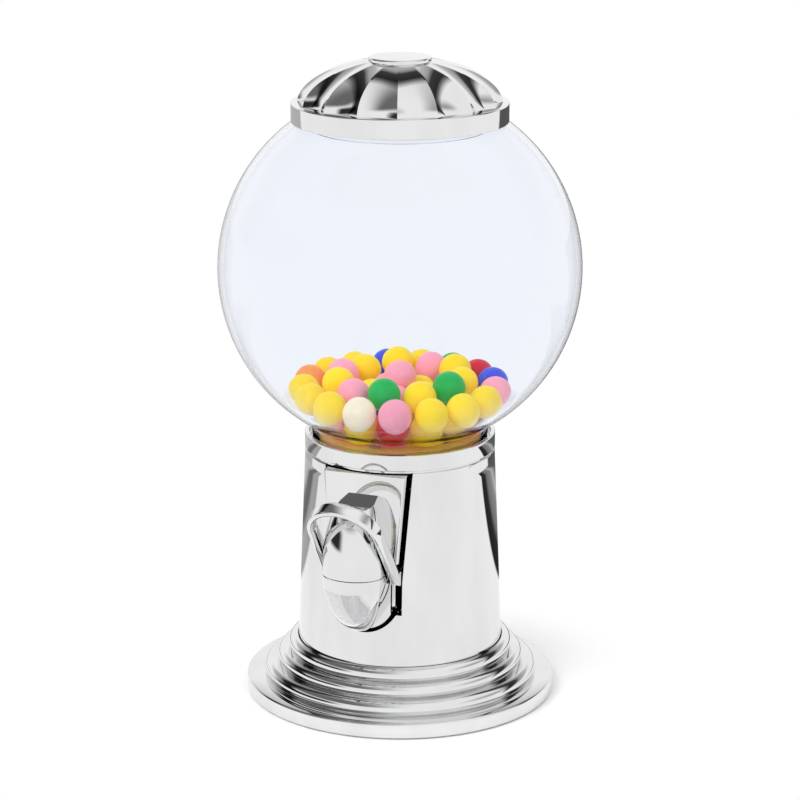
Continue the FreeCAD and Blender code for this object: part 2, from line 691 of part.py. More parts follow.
PIN_Y = slope_point(*TAIL_AT)[0]
FINGER_SLOT = (FINGER_AT - SWEEP_BACK, FINGER_AT + FINGER_SWEEP)
KEEPER_SLOT = (KEEPER_AT - SWEEP_BACK, KEEPER_AT + KEEPER_SWEEP)


def cheek_corners():
    full = CHUTE_TOP - CHUTE_SIDE
    shoulder_y = SILL_Y + (full - CHUTE_SILL) / SLOPE_TAN
    return [
        (CHUTE_FRONT, floor_height(CHUTE_FRONT) - CHUTE_FLOOR - CHEEK_LIP),
        (CHUTE_FRONT, floor_height(CHUTE_FRONT) + CHUTE_SIDE),
        (shoulder_y, CHUTE_TOP),
        (CHUTE_REAR + CHUTE_WALL, CHUTE_TOP),
        (CHUTE_REAR + CHUTE_WALL, floor_height(CHUTE_REAR) - CHUTE_FLOOR - CHEEK_BELOW),
        (PIN_Y + CHEEK_MARGIN, floor_height(PIN_Y + CHEEK_MARGIN) - CHUTE_FLOOR - CHEEK_BELOW),
        (PIN_Y + CHEEK_MARGIN, SPRING_PIN_HEIGHT - CHEEK_MARGIN),
        (PIN_Y - CHEEK_MARGIN, SPRING_PIN_HEIGHT - CHEEK_MARGIN),
        (PIN_Y - CHEEK_MARGIN, PIVOT_Z - HUB_RADIUS - CHEEK_MARGIN),
        (PIVOT_Y - HUB_RADIUS - CHEEK_MARGIN / 2, PIVOT_Z - HUB_RADIUS - CHEEK_MARGIN),
    ]


def make_chute():
    pieces = []
    for cheek in both_sides(side_plate(cheek_corners(), CHUTE_HALF, CHUTE_OUTER)):
        pieces.append(cheek)
    under = CHUTE_FLOOR / SLOPE_COS
    front_top = floor_height(CHUTE_FRONT)
    rear_top = floor_height(CHUTE_REAR + CHUTE_WALL)
    strip = [(CHUTE_FRONT, front_top), (CHUTE_REAR + CHUTE_WALL, rear_top),
             (CHUTE_REAR + CHUTE_WALL, rear_top - under), (CHUTE_FRONT, front_top - under)]
    floor = side_plate(strip, -CHUTE_OUTER, CHUTE_OUTER)
    reach = PIVOT_DROP + CHUTE_FLOOR
    for low, high in (FINGER_SLOT, KEEPER_SLOT):
        corners = [(low, 0), (high, 0), (high, reach), (low, reach)]
        floor = floor.cut(slope_plate(corners, ROCKER_HALF + RUN_GAP))
    pieces.append(floor)
    pieces.append(block(point(-CHUTE_OUTER, CHUTE_REAR, rear_top - under),
                        point(CHUTE_OUTER, CHUTE_REAR + CHUTE_WALL, CHUTE_TOP)))
    arm = block(point(CHUTE_HALF, -HANGER_HALF, HANGER_LOW),
                point(DECK_SCREW_CIRCLE + HANGER_HALF, HANGER_HALF, HANGER_LOW + HANGER_THICK))
    hanger = block(point(DECK_SCREW_CIRCLE - HANGER_THICK, -HANGER_HALF, HANGER_LOW),
                   point(DECK_SCREW_CIRCLE + HANGER_HALF, HANGER_HALF, COLUMN_TOP))
    for piece in both_sides(arm.fuse(hanger)):
        pieces.append(piece)
    chute = joined(pieces)
    chute = chute.cut(cross_bore(BUSH_RADIUS + SLIP, PIVOT_Y, PIVOT_Z))
    chute = chute.cut(cross_bore(SPRING_PIN_RADIUS + SLIP, PIN_Y, SPRING_PIN_HEIGHT))
    for angle in HANGER_ANGLES:
        low = around(DECK_SCREW_CIRCLE, angle, COLUMN_TOP - LUG_HEIGHT)
        chute = chute.cut(screw_hole(low, UP, LUG_HEIGHT))
    return chute.removeSplitter()


def make_spring_pin():
    return rod(SPRING_PIN_RADIUS, point(-CHUTE_OUTER, PIN_Y, SPRING_PIN_HEIGHT), SIDEWAYS, 2 * CHUTE_OUTER)


def make_shaft_bushes():
    start = point(CHUTE_HALF, PIVOT_Y, PIVOT_Z)
    sleeve = rod(BUSH_RADIUS, start, SIDEWAYS, CHUTE_WALL)
    flange = rod(BUSH_FLANGE_RADIUS, point(CHUTE_OUTER, PIVOT_Y, PIVOT_Z), SIDEWAYS, BUSH_FLANGE)
    bush = sleeve.fuse(flange).cut(rod(SHAFT_RADIUS + SLIP, start, SIDEWAYS, CHUTE_WALL + BUSH_FLANGE))
    return both_sides(bush.removeSplitter())


# Lever and shaft

def shaft_flats(depth, start):
    """Boxes that cut a flat along both ends of the shaft or its bore."""
    low = point(start, PIVOT_Y - FAR / 40, PIVOT_Z + SHAFT_RADIUS - depth)
    high = point(FAR / 10, PIVOT_Y + FAR / 40, PIVOT_Z + FAR / 40)
    return both_sides(block(low, high))


def make_lever_shaft():
    shaft = rod(SHAFT_RADIUS, point(-SHAFT_HALF, PIVOT_Y, PIVOT_Z), SIDEWAYS, 2 * SHAFT_HALF)
    for flat in shaft_flats(SHAFT_FLAT, HUB_START):
        shaft = shaft.cut(flat)
    return shaft.cut(rocker_pin_shape(SLIP)).removeSplitter()


def arch(low_half, high_half, reach, crown):
    """Closed outline of a stirrup with a flat foot, in the plane of X and Z, standing on Z = 0."""
    spring = reach - crown
    top = point(0, 0, reach)
    middle = point(0, 0, spring)
    right = point(high_half, 0, spring)
    left = point(-high_half, 0, spring)
    major, minor = (top, right) if crown > high_half else (right, top)
    oval = Part.Ellipse(major, minor, middle)
    start = oval.parameter(right)
    end = oval.parameter(left)
    if start > end:
        start = start - 2 * math.pi
    crest = oval.value((start + end) / 2)
    if crest.z < spring:
        start, end = end, start + 2 * math.pi
    edges = [
        Part.makeLine(point(-low_half, 0, 0), point(low_half, 0, 0)),
        Part.makeLine(point(low_half, 0, 0), right),
        oval.toShape(start, end),
        Part.makeLine(left, point(-low_half, 0, 0)),
    ]
    return Part.Face(Part.Wire(Part.sortEdges(edges)[0]))


def shield_corners():
    """Corners of the shield: flush with the panel at rest, and inside the circle that clears the
    lower end of the column's slot as the lever turns."""
    bore = COLUMN_TOP_RADIUS + CONE_RATE * (COLUMN_TOP - SLOT_LOW) - COLUMN_WALL
    wall_y = -math.sqrt(bore ** 2 - (LEVER_INNER + SHIELD_THICK) ** 2)
    reach = math.hypot(PIVOT_Y - wall_y, PIVOT_Z - SLOT_LOW) - RUN_GAP
    face_y = -(FACE_FOOT - CONE_RATE * PIVOT_Z) + SHIELD_SINK
    away = PIVOT_Y - face_y
    slant = 1 + CONE_RATE ** 2
    drop = (math.sqrt(slant * reach ** 2 - away ** 2) - away * CONE_RATE) / slant
    low = PIVOT_Z - SLOT_LOW - RUN_GAP
    return [
        (face_y - CONE_RATE * (PIVOT_Z - LEVER_START), LEVER_START),
        (face_y - CONE_RATE * drop, PIVOT_Z - drop),
        (PIVOT_Y - math.sqrt(reach ** 2 - low ** 2), SLOT_LOW + RUN_GAP),
        (PIVOT_Y, PIVOT_Z - HUB_RADIUS * ELBOW_LOW),
        (PIVOT_Y, PIVOT_Z),
    ]


def make_lever():
    outer = arch(LEVER_LOW_HALF, LEVER_HIGH_HALF, LEVER_REACH, LEVER_CROWN)
    inner_half = LEVER_HIGH_HALF - LEVER_BAR
    inner = arch(LEVER_INNER, inner_half, LEVER_REACH - LEVER_BAR, LEVER_CROWN - LEVER_BAR)
    stirrup = outer.extrude(point(0, LEVER_DEPTH, 0)).cut(inner.extrude(point(0, LEVER_DEPTH, 0)))
    stirrup.translate(point(0, -LEVER_DEPTH / 2, 0))
    long_edges = []
    for edge in stirrup.Edges:
        if edge.BoundBox.YLength < NEAR and edge.BoundBox.ZLength > LEVER_ROUND:
            long_edges.append(edge)
    stirrup = stirrup.makeFillet(LEVER_ROUND, long_edges)
    stirrup.rotate(AXIS, SIDEWAYS, 90 - LEVER_INCLINE)
    start_y = -(FACE_FOOT - CONE_RATE * LEVER_START)
    stirrup.translate(point(0, start_y, LEVER_START))
    pieces = [stirrup]
    lean = math.radians(LEVER_INCLINE)
    across_y = LEVER_DEPTH / 2 * math.sin(lean)
    across_z = LEVER_DEPTH / 2 * math.cos(lean)
    elbow = [
        (start_y - across_y, LEVER_START - across_z),
        (start_y + across_y, LEVER_START + across_z),
        (PIVOT_Y, PIVOT_Z + HUB_RADIUS * ELBOW_TOP),
        (PIVOT_Y, PIVOT_Z - HUB_RADIUS * ELBOW_LOW),
        (start_y + ELBOW_BACK * across_y, LEVER_START - ELBOW_DROP * across_z),
    ]
    leg = side_plate(elbow, LEVER_INNER, LEVER_LOW_HALF)
    hub = rod(HUB_RADIUS, point(HUB_START, PIVOT_Y, PIVOT_Z), SIDEWAYS, LEVER_LOW_HALF - HUB_START)
    shield = side_plate(shield_corners(), LEVER_INNER, LEVER_INNER + SHIELD_THICK)
    for piece in both_sides(leg.fuse([hub, shield])):
        pieces.append(piece)
    lever = joined(pieces)
    bore = cross_bore(SHAFT_RADIUS + SLIP, PIVOT_Y, PIVOT_Z)
    for flat in shaft_flats(SHAFT_FLAT - SLIP, HUB_START - RUN_GAP):
        bore = bore.cut(flat)
    return lever.cut(bore).removeSplitter()


def make_lever_nuts():
    start = LEVER_LOW_HALF
    radius = NUT_ACROSS / math.sqrt(3)
    corners = []
    for step in range(6):
        turn = math.radians(60 * step)
        corners.append((PIVOT_Y + radius * math.cos(turn), PIVOT_Z + radius * math.sin(turn)))
    nut = side_plate(corners, start, start + NUT_HEIGHT)
    nut = nut.cut(rod(SHAFT_RADIUS + SLIP, point(start, PIVOT_Y, PIVOT_Z), SIDEWAYS, NUT_HEIGHT))
    return both_sides(nut)


# Gate rocker: the finger in front holds one ball, and the keeper behind rises as the finger drops

def rocker_pin_shape(extra):
    start_y, start_z = slope_point(0, -ROCKER_HUB)
    direction = point(0, -SLOPE_SIN, SLOPE_COS)
    return rod(PIN_RADIUS + extra, point(PIN_X, start_y, start_z), direction, 2 * ROCKER_HUB - SCREW_SPARE)


def make_rocker():
    half = CHUTE_HALF - RUN_GAP
    hub = rod(ROCKER_HUB, point(-half, PIVOT_Y, PIVOT_Z), SIDEWAYS, 2 * half)
    top = PIVOT_DROP + FINGER_HIGH
    near = FINGER_AT - FINGER_THICK / 2
    far = FINGER_AT + FINGER_THICK / 2
    finger = slope_plate([(0, -ARM), (far - ARM_CORNER, -ARM), (far, 0), (far, top),
                          (near, top), (near, ARM), (0, ARM)], ROCKER_HALF)
    tip = PIVOT_DROP - KEEPER_LOW
    back = KEEPER_AT - KEEPER_THICK / 2
    face = KEEPER_AT + KEEPER_THICK / 2
    keeper = slope_plate([(0, -ARM), (0, ARM_CORNER), (face, 0), (face, tip),
                          (back, tip), (back, -ARM)], ROCKER_HALF)
    tail_along, tail_above = TAIL_AT
    eye = TAIL_EYE + EYE_WALL
    tail_low = tail_above - eye
    tail = slope_plate([(0, -ARM_CORNER), (tail_along - eye, -ARM_CORNER), (tail_along - eye, tail_low),
                        (tail_along + eye, tail_low), (0, -2 * ARM_CORNER)], TAIL_HALF)
    rocker = joined([hub, finger, keeper, tail])
    rocker = rocker.cut(cross_bore(SHAFT_RADIUS + SLIP, PIVOT_Y, PIVOT_Z))
    rocker = rocker.cut(cross_bore(TAIL_EYE, *slope_point(*TAIL_AT)))
    return rocker.cut(rocker_pin_shape(SLIP)).removeSplitter()


def make_return_spring():
    """An upright coil between two closed loops: one through the rocker's eye, one round the pin."""
    eye_y, eye_z = slope_point(*TAIL_AT)
    upper = point(0, eye_y, eye_z - SPRING_RADIUS)
    lower = point(0, PIN_Y, SPRING_PIN_HEIGHT + SPRING_RADIUS - SPRING_WIRE - SPRING_PIN_RADIUS - SLIP)
    upper_loop = Part.makeTorus(SPRING_RADIUS, SPRING_WIRE, upper, FORWARD)
    lower_loop = Part.makeTorus(SPRING_RADIUS, SPRING_WIRE, lower, SIDEWAYS)
    reach = SPRING_RADIUS + SPRING_WIRE / 2
    low = lower.z + reach
    high = upper.z - reach
    pitch = (high - low) / SPRING_TURNS
    helix = Part.makeHelix(pitch, high - low, SPRING_RADIUS)
    helix.translate(point(0, PIN_Y, low))
    start = helix.Edges[0].valueAt(helix.Edges[0].FirstParameter)
    along = helix.Edges[0].tangentAt(helix.Edges[0].FirstParameter)
    section = Part.Wire(Part.makeCircle(SPRING_WIRE, start, along))
    coil = Part.Wire(helix.Edges).makePipeShell([section], True, True)
    return [coil, upper_loop, lower_loop]


# Hopper, gasket and globe

def make_hopper():
    lower = HOPPER_WALL * math.sqrt(1 + HOPPER_RATE ** 2)
    outer = NECK_BORE - SEAT_GAP
    spout = THROAT_RADIUS + HOPPER_WALL
    spout_top = THROAT_TOP + HOPPER_WALL * HOPPER_RATE - lower
    flat_start = HOPPER_FLAT_INNER + (lower - HOPPER_WALL) / HOPPER_RATE
    profile = [
        (outer, HOPPER_FLAT),
        (HOPPER_FLAT_INNER, HOPPER_FLAT),
        (THROAT_RADIUS, THROAT_TOP),
        (THROAT_RADIUS, THROAT_BOTTOM),
        (spout, THROAT_BOTTOM),
        (spout, spout_top),
        (flat_start, POST_TOP),
        (outer, POST_TOP),
    ]
    hopper = turned(outline(profile))
    for angle in POST_ANGLES:
        hopper = hopper.cut(screw_hole(around(DECK_SCREW_CIRCLE, angle, POST_TOP), UP, HOPPER_WALL))
    return hopper


def make_hopper_screws():
    length = HOPPER_FLAT - COLUMN_TOP - SCREW_SPARE
    return [screw(around(DECK_SCREW_CIRCLE, angle, HOPPER_FLAT), DOWN, length) for angle in POST_ANGLES]


def make_gasket():
    return ring(NECK_RADIUS, LIP_INNER, DECK_TOP, LIP_BOTTOM)


def neck_meets(radius, sphere):
    """Height where a neck of a radius runs into a sphere of the globe."""
    return GLOBE_CENTRE - math.sqrt(sphere ** 2 - radius ** 2)


def make_globe():
    profile = [
        (LIP_INNER, LIP_BOTTOM),
        (NECK_RADIUS, LIP_BOTTOM),
        (NECK_RADIUS, neck_meets(NECK_RADIUS, GLOBE_RADIUS)),
        (MOUTH_OUTER, MOUTH_HEIGHT, GLOBE_RADIUS, GLOBE_CENTRE),
        (MOUTH_RADIUS, MOUTH_HEIGHT),
        (NECK_BORE, neck_meets(NECK_BORE, GLOBE_INSIDE), GLOBE_INSIDE, GLOBE_CENTRE),
        (NECK_BORE, LIP_TOP),
        (LIP_INNER, LIP_TOP),
    ]
    return turned(outline(profile))


# Gumballs: rings of balls, each let down until it meets the glass, the hopper or a ball below it

BALL_RINGS = (
    (0.0, 1, 0.0, "Y"),
    (17.0, 6, -80.0, "PYGYBP"),
    (30.7, 12, -75.0, "RYYOGYPBYCPY"),
    (45.5, 17, 34.5, "BRGYBYYOYYYCPYYYP"),
    (29.5, 11, -83.0, "GYGYYPYYPYP"),
    (13.5, 5, -150.0, "YPYYP"),
    (0.0, 1, 0.0, "P"),
)
QUEUE_COLOURS = "YPG"
COLOUR_NAMES = {
    "Y": "yellow", "P": "pink", "G": "green", "B": "blue",
    "R": "red", "C": "cream", "O": "orange",
}


def rest_on_shell(radius):
    """Lowest centre height of a ball at a distance from the axis, from the glass and hopper alone."""
    on_flat = HOPPER_FLAT + BALL_AWAY
    if radius < HOPPER_FLAT_INNER:
        slant = math.sqrt(1 + HOPPER_RATE ** 2)
        on_cone = THROAT_TOP + (radius - THROAT_RADIUS) * HOPPER_RATE + BALL_AWAY * slant
        return min(on_cone, on_flat)
    if radius <= NECK_BORE - BALL_AWAY:
        return on_flat
    track = GLOBE_INSIDE - BALL_AWAY
    if radius * GLOBE_INSIDE / track < NECK_BORE:
        side = NECK_BORE - radius
        on_corner = neck_meets(NECK_BORE, GLOBE_INSIDE) + math.sqrt(BALL_AWAY ** 2 - side ** 2)
        return max(on_flat, on_corner)
    return GLOBE_CENTRE - math.sqrt(track ** 2 - radius ** 2)


def ring_count(radius, wanted):
    """How many balls of a ring have room beside each other."""
    if radius < BALL_PITCH / 2:
        return 1
    room = math.pi / math.asin(BALL_PITCH / 2 / radius)
    return min(wanted, int(room + NEAR))


def queue_places():
    """Balls in line on the chute behind the finger."""
    hold = math.sqrt(BALL_RADIUS ** 2 - (BALL_RADIUS - FINGER_HIGH) ** 2)
    first = FINGER_AT - FINGER_THICK / 2 - hold - BALL_ROOM
    places = []
    for step, letter in enumerate(QUEUE_COLOURS):
        y, z = slope_point(first - step * BALL_PITCH, PIVOT_DROP + BALL_AWAY)
        places.append((point(0, y, z), letter))
    return places


def ball_places():
    """Centres of all the balls with their colour letters."""
    placed = queue_places()
    for radius, wanted, start, letters in BALL_RINGS:
        count = ring_count(radius, wanted)
        for step in range(count):
            spot = around(radius, start + 360 * step / count, 0)
            in_throat = radius < THROAT_RADIUS - BALL_RADIUS
            height = CHUTE_SILL if in_throat else rest_on_shell(radius)
            for other, _ in placed:
                apart = math.hypot(spot.x - other.x, spot.y - other.y)
                if apart < BALL_PITCH:
                    height = max(height, other.z + math.sqrt(BALL_PITCH ** 2 - apart ** 2))
            placed.append((point(spot.x, spot.y, height), letters[step]))
    return placed


def make_gumballs(letter):
    return [Part.makeSphere(BALL_RADIUS, centre) for centre, colour in ball_places() if colour == letter]


# Lid

def flute_wire(ridge, valley, height):
    """A closed ring of hollow arcs that meet at sharp ridges."""
    edges = []
    turn = 360 / FLUTES
    for step in range(FLUTES):
        start = -90 + FLUTE_TURN + step * turn
        first = around(ridge, start, height)
        middle = around(valley, start + turn / 2, height)
        last = around(ridge, start + turn, height)
        edges.append(Part.Arc(first, middle, last).toShape())
    return Part.Wire(edges)


def make_lid_shell():
    wires = []
    base_turn = math.asin((BAND_TOP - DOME_BASE) / DOME_RISE)
    crown_turn = math.acos(DOME_CROWN / DOME_RADIUS)
    for level in range(DOME_LEVELS):
        share = level / (DOME_LEVELS - 1)
        turn = base_turn + (crown_turn - base_turn) * share
        ridge = DOME_RADIUS * math.cos(turn)
        hollow = FLUTE_LOW + (FLUTE_HIGH - FLUTE_LOW) * share
        chord = ridge * (1 - math.cos(math.pi / FLUTES))
        wires.append(flute_wire(ridge, ridge - chord - hollow, DOME_BASE + DOME_RISE * math.sin(turn)))
    dome = Part.makeLoft(wires, True, False)
    below = MOUTH_HEIGHT - 2 * PLUG_DROP
    band = rod(LID_RADIUS, point(0, 0, below), UP, BAND_TOP - below)
    lid = band.fuse(dome)
    lid = lid.cut(Part.makeSphere(GLOBE_RADIUS + LID_GAP, point(0, 0, GLOBE_CENTRE)))
    inner_band = LID_RADIUS - LID_WALL
    inner_dome = DOME_RADIUS - FLUTE_LOW - LID_WALL - DOME_RADIUS * (1 - math.cos(math.pi / FLUTES))
    crown = KNOB_SEAT - LID_WALL
    shoulder = BAND_TOP - LID_WALL
    bend = inner_dome * math.sqrt(0.5)
    rise = shoulder + (crown - shoulder) * math.sqrt(0.5)
    profile = [
        (0, below),
        (inner_band, below),
        (inner_band, shoulder),
        (inner_dome, shoulder),
        (DOME_CROWN, crown, bend, rise),
        (0, crown),
    ]
    lid = lid.cut(turned(outline(profile)))
    lid = lid.cut(rod(KNOB_RADIUS + SEAT_GAP, point(0, 0, KNOB_SEAT), UP, FAR))
    return lid.cut(screw_hole(point(0, 0, crown), UP, FAR)).removeSplitter()


def make_lid_liner():
    """A clear stopper ring: its flat rests on the glass mouth, and its skirt centres the lid."""
    skirt = MOUTH_RADIUS - SEAT_GAP - RUN_GAP
    skirt_low = MOUTH_HEIGHT - PLUG_DROP
    profile = [
        (skirt, skirt_low),
        (skirt, MOUTH_HEIGHT + SEAT_GAP),
        (LINER_RIM, MOUTH_HEIGHT + SEAT_GAP),
        (LINER_RIM, LINER_TOP),
        (LID_RADIUS - LID_WALL - SEAT_GAP, LINER_TOP),
        (LID_RADIUS - LID_WALL - SEAT_GAP, BAND_TOP - LID_WALL),
        (LID_RADIUS - 2 * LID_WALL - SEAT_GAP, BAND_TOP - LID_WALL),
        (skirt - PLUG_WALL, LINER_TOP),
        (skirt - PLUG_WALL, skirt_low),
    ]
    return turned(outline(profile))


def make_lid_knob():
    knob = rod(KNOB_RADIUS, point(0, 0, KNOB_SEAT), UP, KNOB_THICK)
    rim = [edge for edge in knob.Edges if edge.BoundBox.ZMin > KNOB_TOP - NEAR]
    knob = knob.makeFillet(KNOB_THICK / 4, rim)
    return knob.cut(screw_hole(point(0, 0, KNOB_SEAT), UP, KNOB_THREAD + SEAT_GAP))


def make_lid_screw():
    return screw(point(0, 0, KNOB_SEAT - LID_WALL), UP, LID_WALL + KNOB_THREAD)


def write(name, shape):
    """Writes one node. A list is a group of separate solids."""
    whole = Part.makeCompound(shape) if isinstance(shape, list) else shape
    for solid in whole.Solids:
        assert solid.isValid(), name
    assert whole.Solids, name
    whole.exportStep("parts/" + name + ".step")


def main():
    os.makedirs("parts", exist_ok=True)
    write("felt_ring", ring(FELT_OUTER, FELT_INNER, 0, FELT_TOP))
    write("base_cover", make_base_cover())
    write("base_screws", make_base_screws())
    write("foot", make_foot())
    write("column_screws", make_column_screws())
    write("column", make_column())
    write("seat_ring", make_seat_ring())
    write("seat_screws", deck_screws(LUG_ANGLES))
    write("front_panel", make_front_panel())
    write("panel_screws", make_panel_screws())
    write("chute_hood", make_hood())
    write("catch_cup", make_cup())
    write("cover_screws", make_cover_screws())
    write("chute", make_chute())
    write("chute_screws", deck_screws(HANGER_ANGLES))
    write("shaft_bushes", make_shaft_bushes())
    write("spring_pin", make_spring_pin())
    write("return_spring", make_return_spring())
    write("lever", make_lever())
    write("lever_shaft", make_lever_shaft())
    write("lever_nuts", make_lever_nuts())
    write("gate_rocker", make_rocker())
    write("rocker_pin", rocker_pin_shape(0))
    write("hopper", make_hopper())
    write("hopper_screws", make_hopper_screws())
    write("globe_gasket", make_gasket())
    write("globe", make_globe())
    for letter, colour in COLOUR_NAMES.items():
        write("gumballs_" + colour, make_gumballs(letter))
    write("lid_liner", make_lid_liner())
    write("lid_shell", make_lid_shell())
    write("lid_knob", make_lid_knob())
    write("lid_screw", make_lid_screw())


main()
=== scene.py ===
"""Looks of a table gumball machine: polished metal, a glass globe, candy balls and a small studio.

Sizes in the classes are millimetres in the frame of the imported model, +Z up and the front at -Y.
"""

import json
import logging
import math
import random
from dataclasses import dataclass, field
from enum import Enum
from typing import Callable, Sequence

import bpy
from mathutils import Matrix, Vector

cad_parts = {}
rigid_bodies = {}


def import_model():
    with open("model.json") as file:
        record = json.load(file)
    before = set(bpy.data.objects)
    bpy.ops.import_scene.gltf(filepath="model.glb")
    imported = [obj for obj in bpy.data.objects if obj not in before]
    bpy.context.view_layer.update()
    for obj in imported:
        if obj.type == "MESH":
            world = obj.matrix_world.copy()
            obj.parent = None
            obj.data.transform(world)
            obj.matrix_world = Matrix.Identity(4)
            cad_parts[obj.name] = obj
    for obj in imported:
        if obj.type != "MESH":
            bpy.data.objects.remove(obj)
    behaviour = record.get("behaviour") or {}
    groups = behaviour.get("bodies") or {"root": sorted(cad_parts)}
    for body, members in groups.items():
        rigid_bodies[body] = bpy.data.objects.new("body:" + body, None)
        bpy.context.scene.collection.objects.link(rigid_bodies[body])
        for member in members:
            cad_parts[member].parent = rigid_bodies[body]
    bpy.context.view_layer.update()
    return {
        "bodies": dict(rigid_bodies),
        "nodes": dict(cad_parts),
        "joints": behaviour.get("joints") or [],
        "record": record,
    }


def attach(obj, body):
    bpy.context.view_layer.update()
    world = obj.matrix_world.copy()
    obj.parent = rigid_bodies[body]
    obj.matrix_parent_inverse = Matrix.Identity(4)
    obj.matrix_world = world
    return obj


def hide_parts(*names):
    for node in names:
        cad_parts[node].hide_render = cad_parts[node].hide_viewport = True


LOG = logging.getLogger("gumball_machine")
MM = 0.001
ROUND_STEPS = 192
FINE_STEPS = 256
MERGE = 0.000002  # metres within which two points are one
HAIR = 0.002  # millimetres by which a cutter stands past the face that it opens

Ring = tuple[float, float]
Colour = tuple[float, float, float, float]
Point = tuple[float, float, float]
Object = bpy.types.Object

BLACK: Colour = (0.0, 0.0, 0.0, 1.0)
WHITE: Colour = (1.0, 1.0, 1.0, 1.0)


def colour(code: str) -> Colour:
    """Turn six hexadecimal digits of a display colour into the linear colour that shaders take."""
    parts = [int(code[start:start + 2], 16) / 255 for start in (0, 2, 4)]
    linear = [part / 12.92 if part <= 0.04045 else ((part + 0.055) / 1.055) ** 2.4 for part in parts]
    return (linear[0], linear[1], linear[2], 1.0)


def grey(level: float) -> Colour:
    """Give a neutral linear colour."""
    return (level, level, level, 1.0)


def between(first: Colour, second: Colour, share: float) -> Colour:
    """Give the colour that lies a share of the way from one colour to another."""
    red, green, blue, alpha = (a + (b - a) * share for a, b in zip(first, second))
    return (red, green, blue, alpha)


def spread(first: float, last: float, steps: int) -> list[float]:
    """Evenly spaced values from the first to the last, both among them."""
    return [first + (last - first) * step / steps for step in range(steps + 1)]


def oval(wide: float, high: float, centre: Ring, turns: Sequence[float]) -> list[Ring]:
    """Points of an ellipse at the given turns from its first axis."""
    return [(centre[0] + wide * math.cos(turn), centre[1] + high * math.sin(turn)) for turn in turns]


def arc(start: Ring, middle: Ring, end: Ring, steps: int) -> list[Ring]:
    """Points of the circle through three points, from the first to the last.

    Args:
        start: First point.
        middle: A point that the arc passes.
        end: Last point.
        steps: How many straight steps stand for the arc.

    Returns:
        The points, both ends among them.
    """
    ax, ay = start
    bx, by = middle
    cx, cy = end
    twice = 2 * (ax * (by - cy) + bx * (cy - ay) + cx * (ay - by))
    a2, b2, c2 = ax * ax + ay * ay, bx * bx + by * by, cx * cx + cy * cy
    ox = (a2 * (by - cy) + b2 * (cy - ay) + c2 * (ay - by)) / twice
    oy = (a2 * (cx - bx) + b2 * (ax - cx) + c2 * (bx - ax)) / twice
    radius = math.hypot(ax - ox, ay - oy)
    first = math.atan2(ay - oy, ax - ox)
    sweep = (math.atan2(cy - oy, cx - ox) - first) % (2 * math.pi)
    passed = (math.atan2(by - oy, bx - ox) - first) % (2 * math.pi)
    if passed > sweep:
        sweep -= 2 * math.pi
    return oval(radius, radius, (ox, oy), spread(first, first + sweep, steps))


def run(start: Ring, end: Ring, steps: int) -> list[Ring]:
    """Evenly spaced points of a straight run, both ends among them."""
    return list(zip(spread(start[0], end[0], steps), spread(start[1], end[1], steps)))


def eased(radius: float, low: float, top: float, edge: float) -> list[Ring]:
    """Rings of a turned wall's outside from low to top, with both its edges rounded."""
    slack = edge * (1 - math.sqrt(0.5))
    lower = arc((radius - edge, low), (radius - slack, low + slack), (radius, low + edge), 4)
    return lower + arc((radius, top - edge), (radius - slack, top - slack), (radius - edge, top), 4)


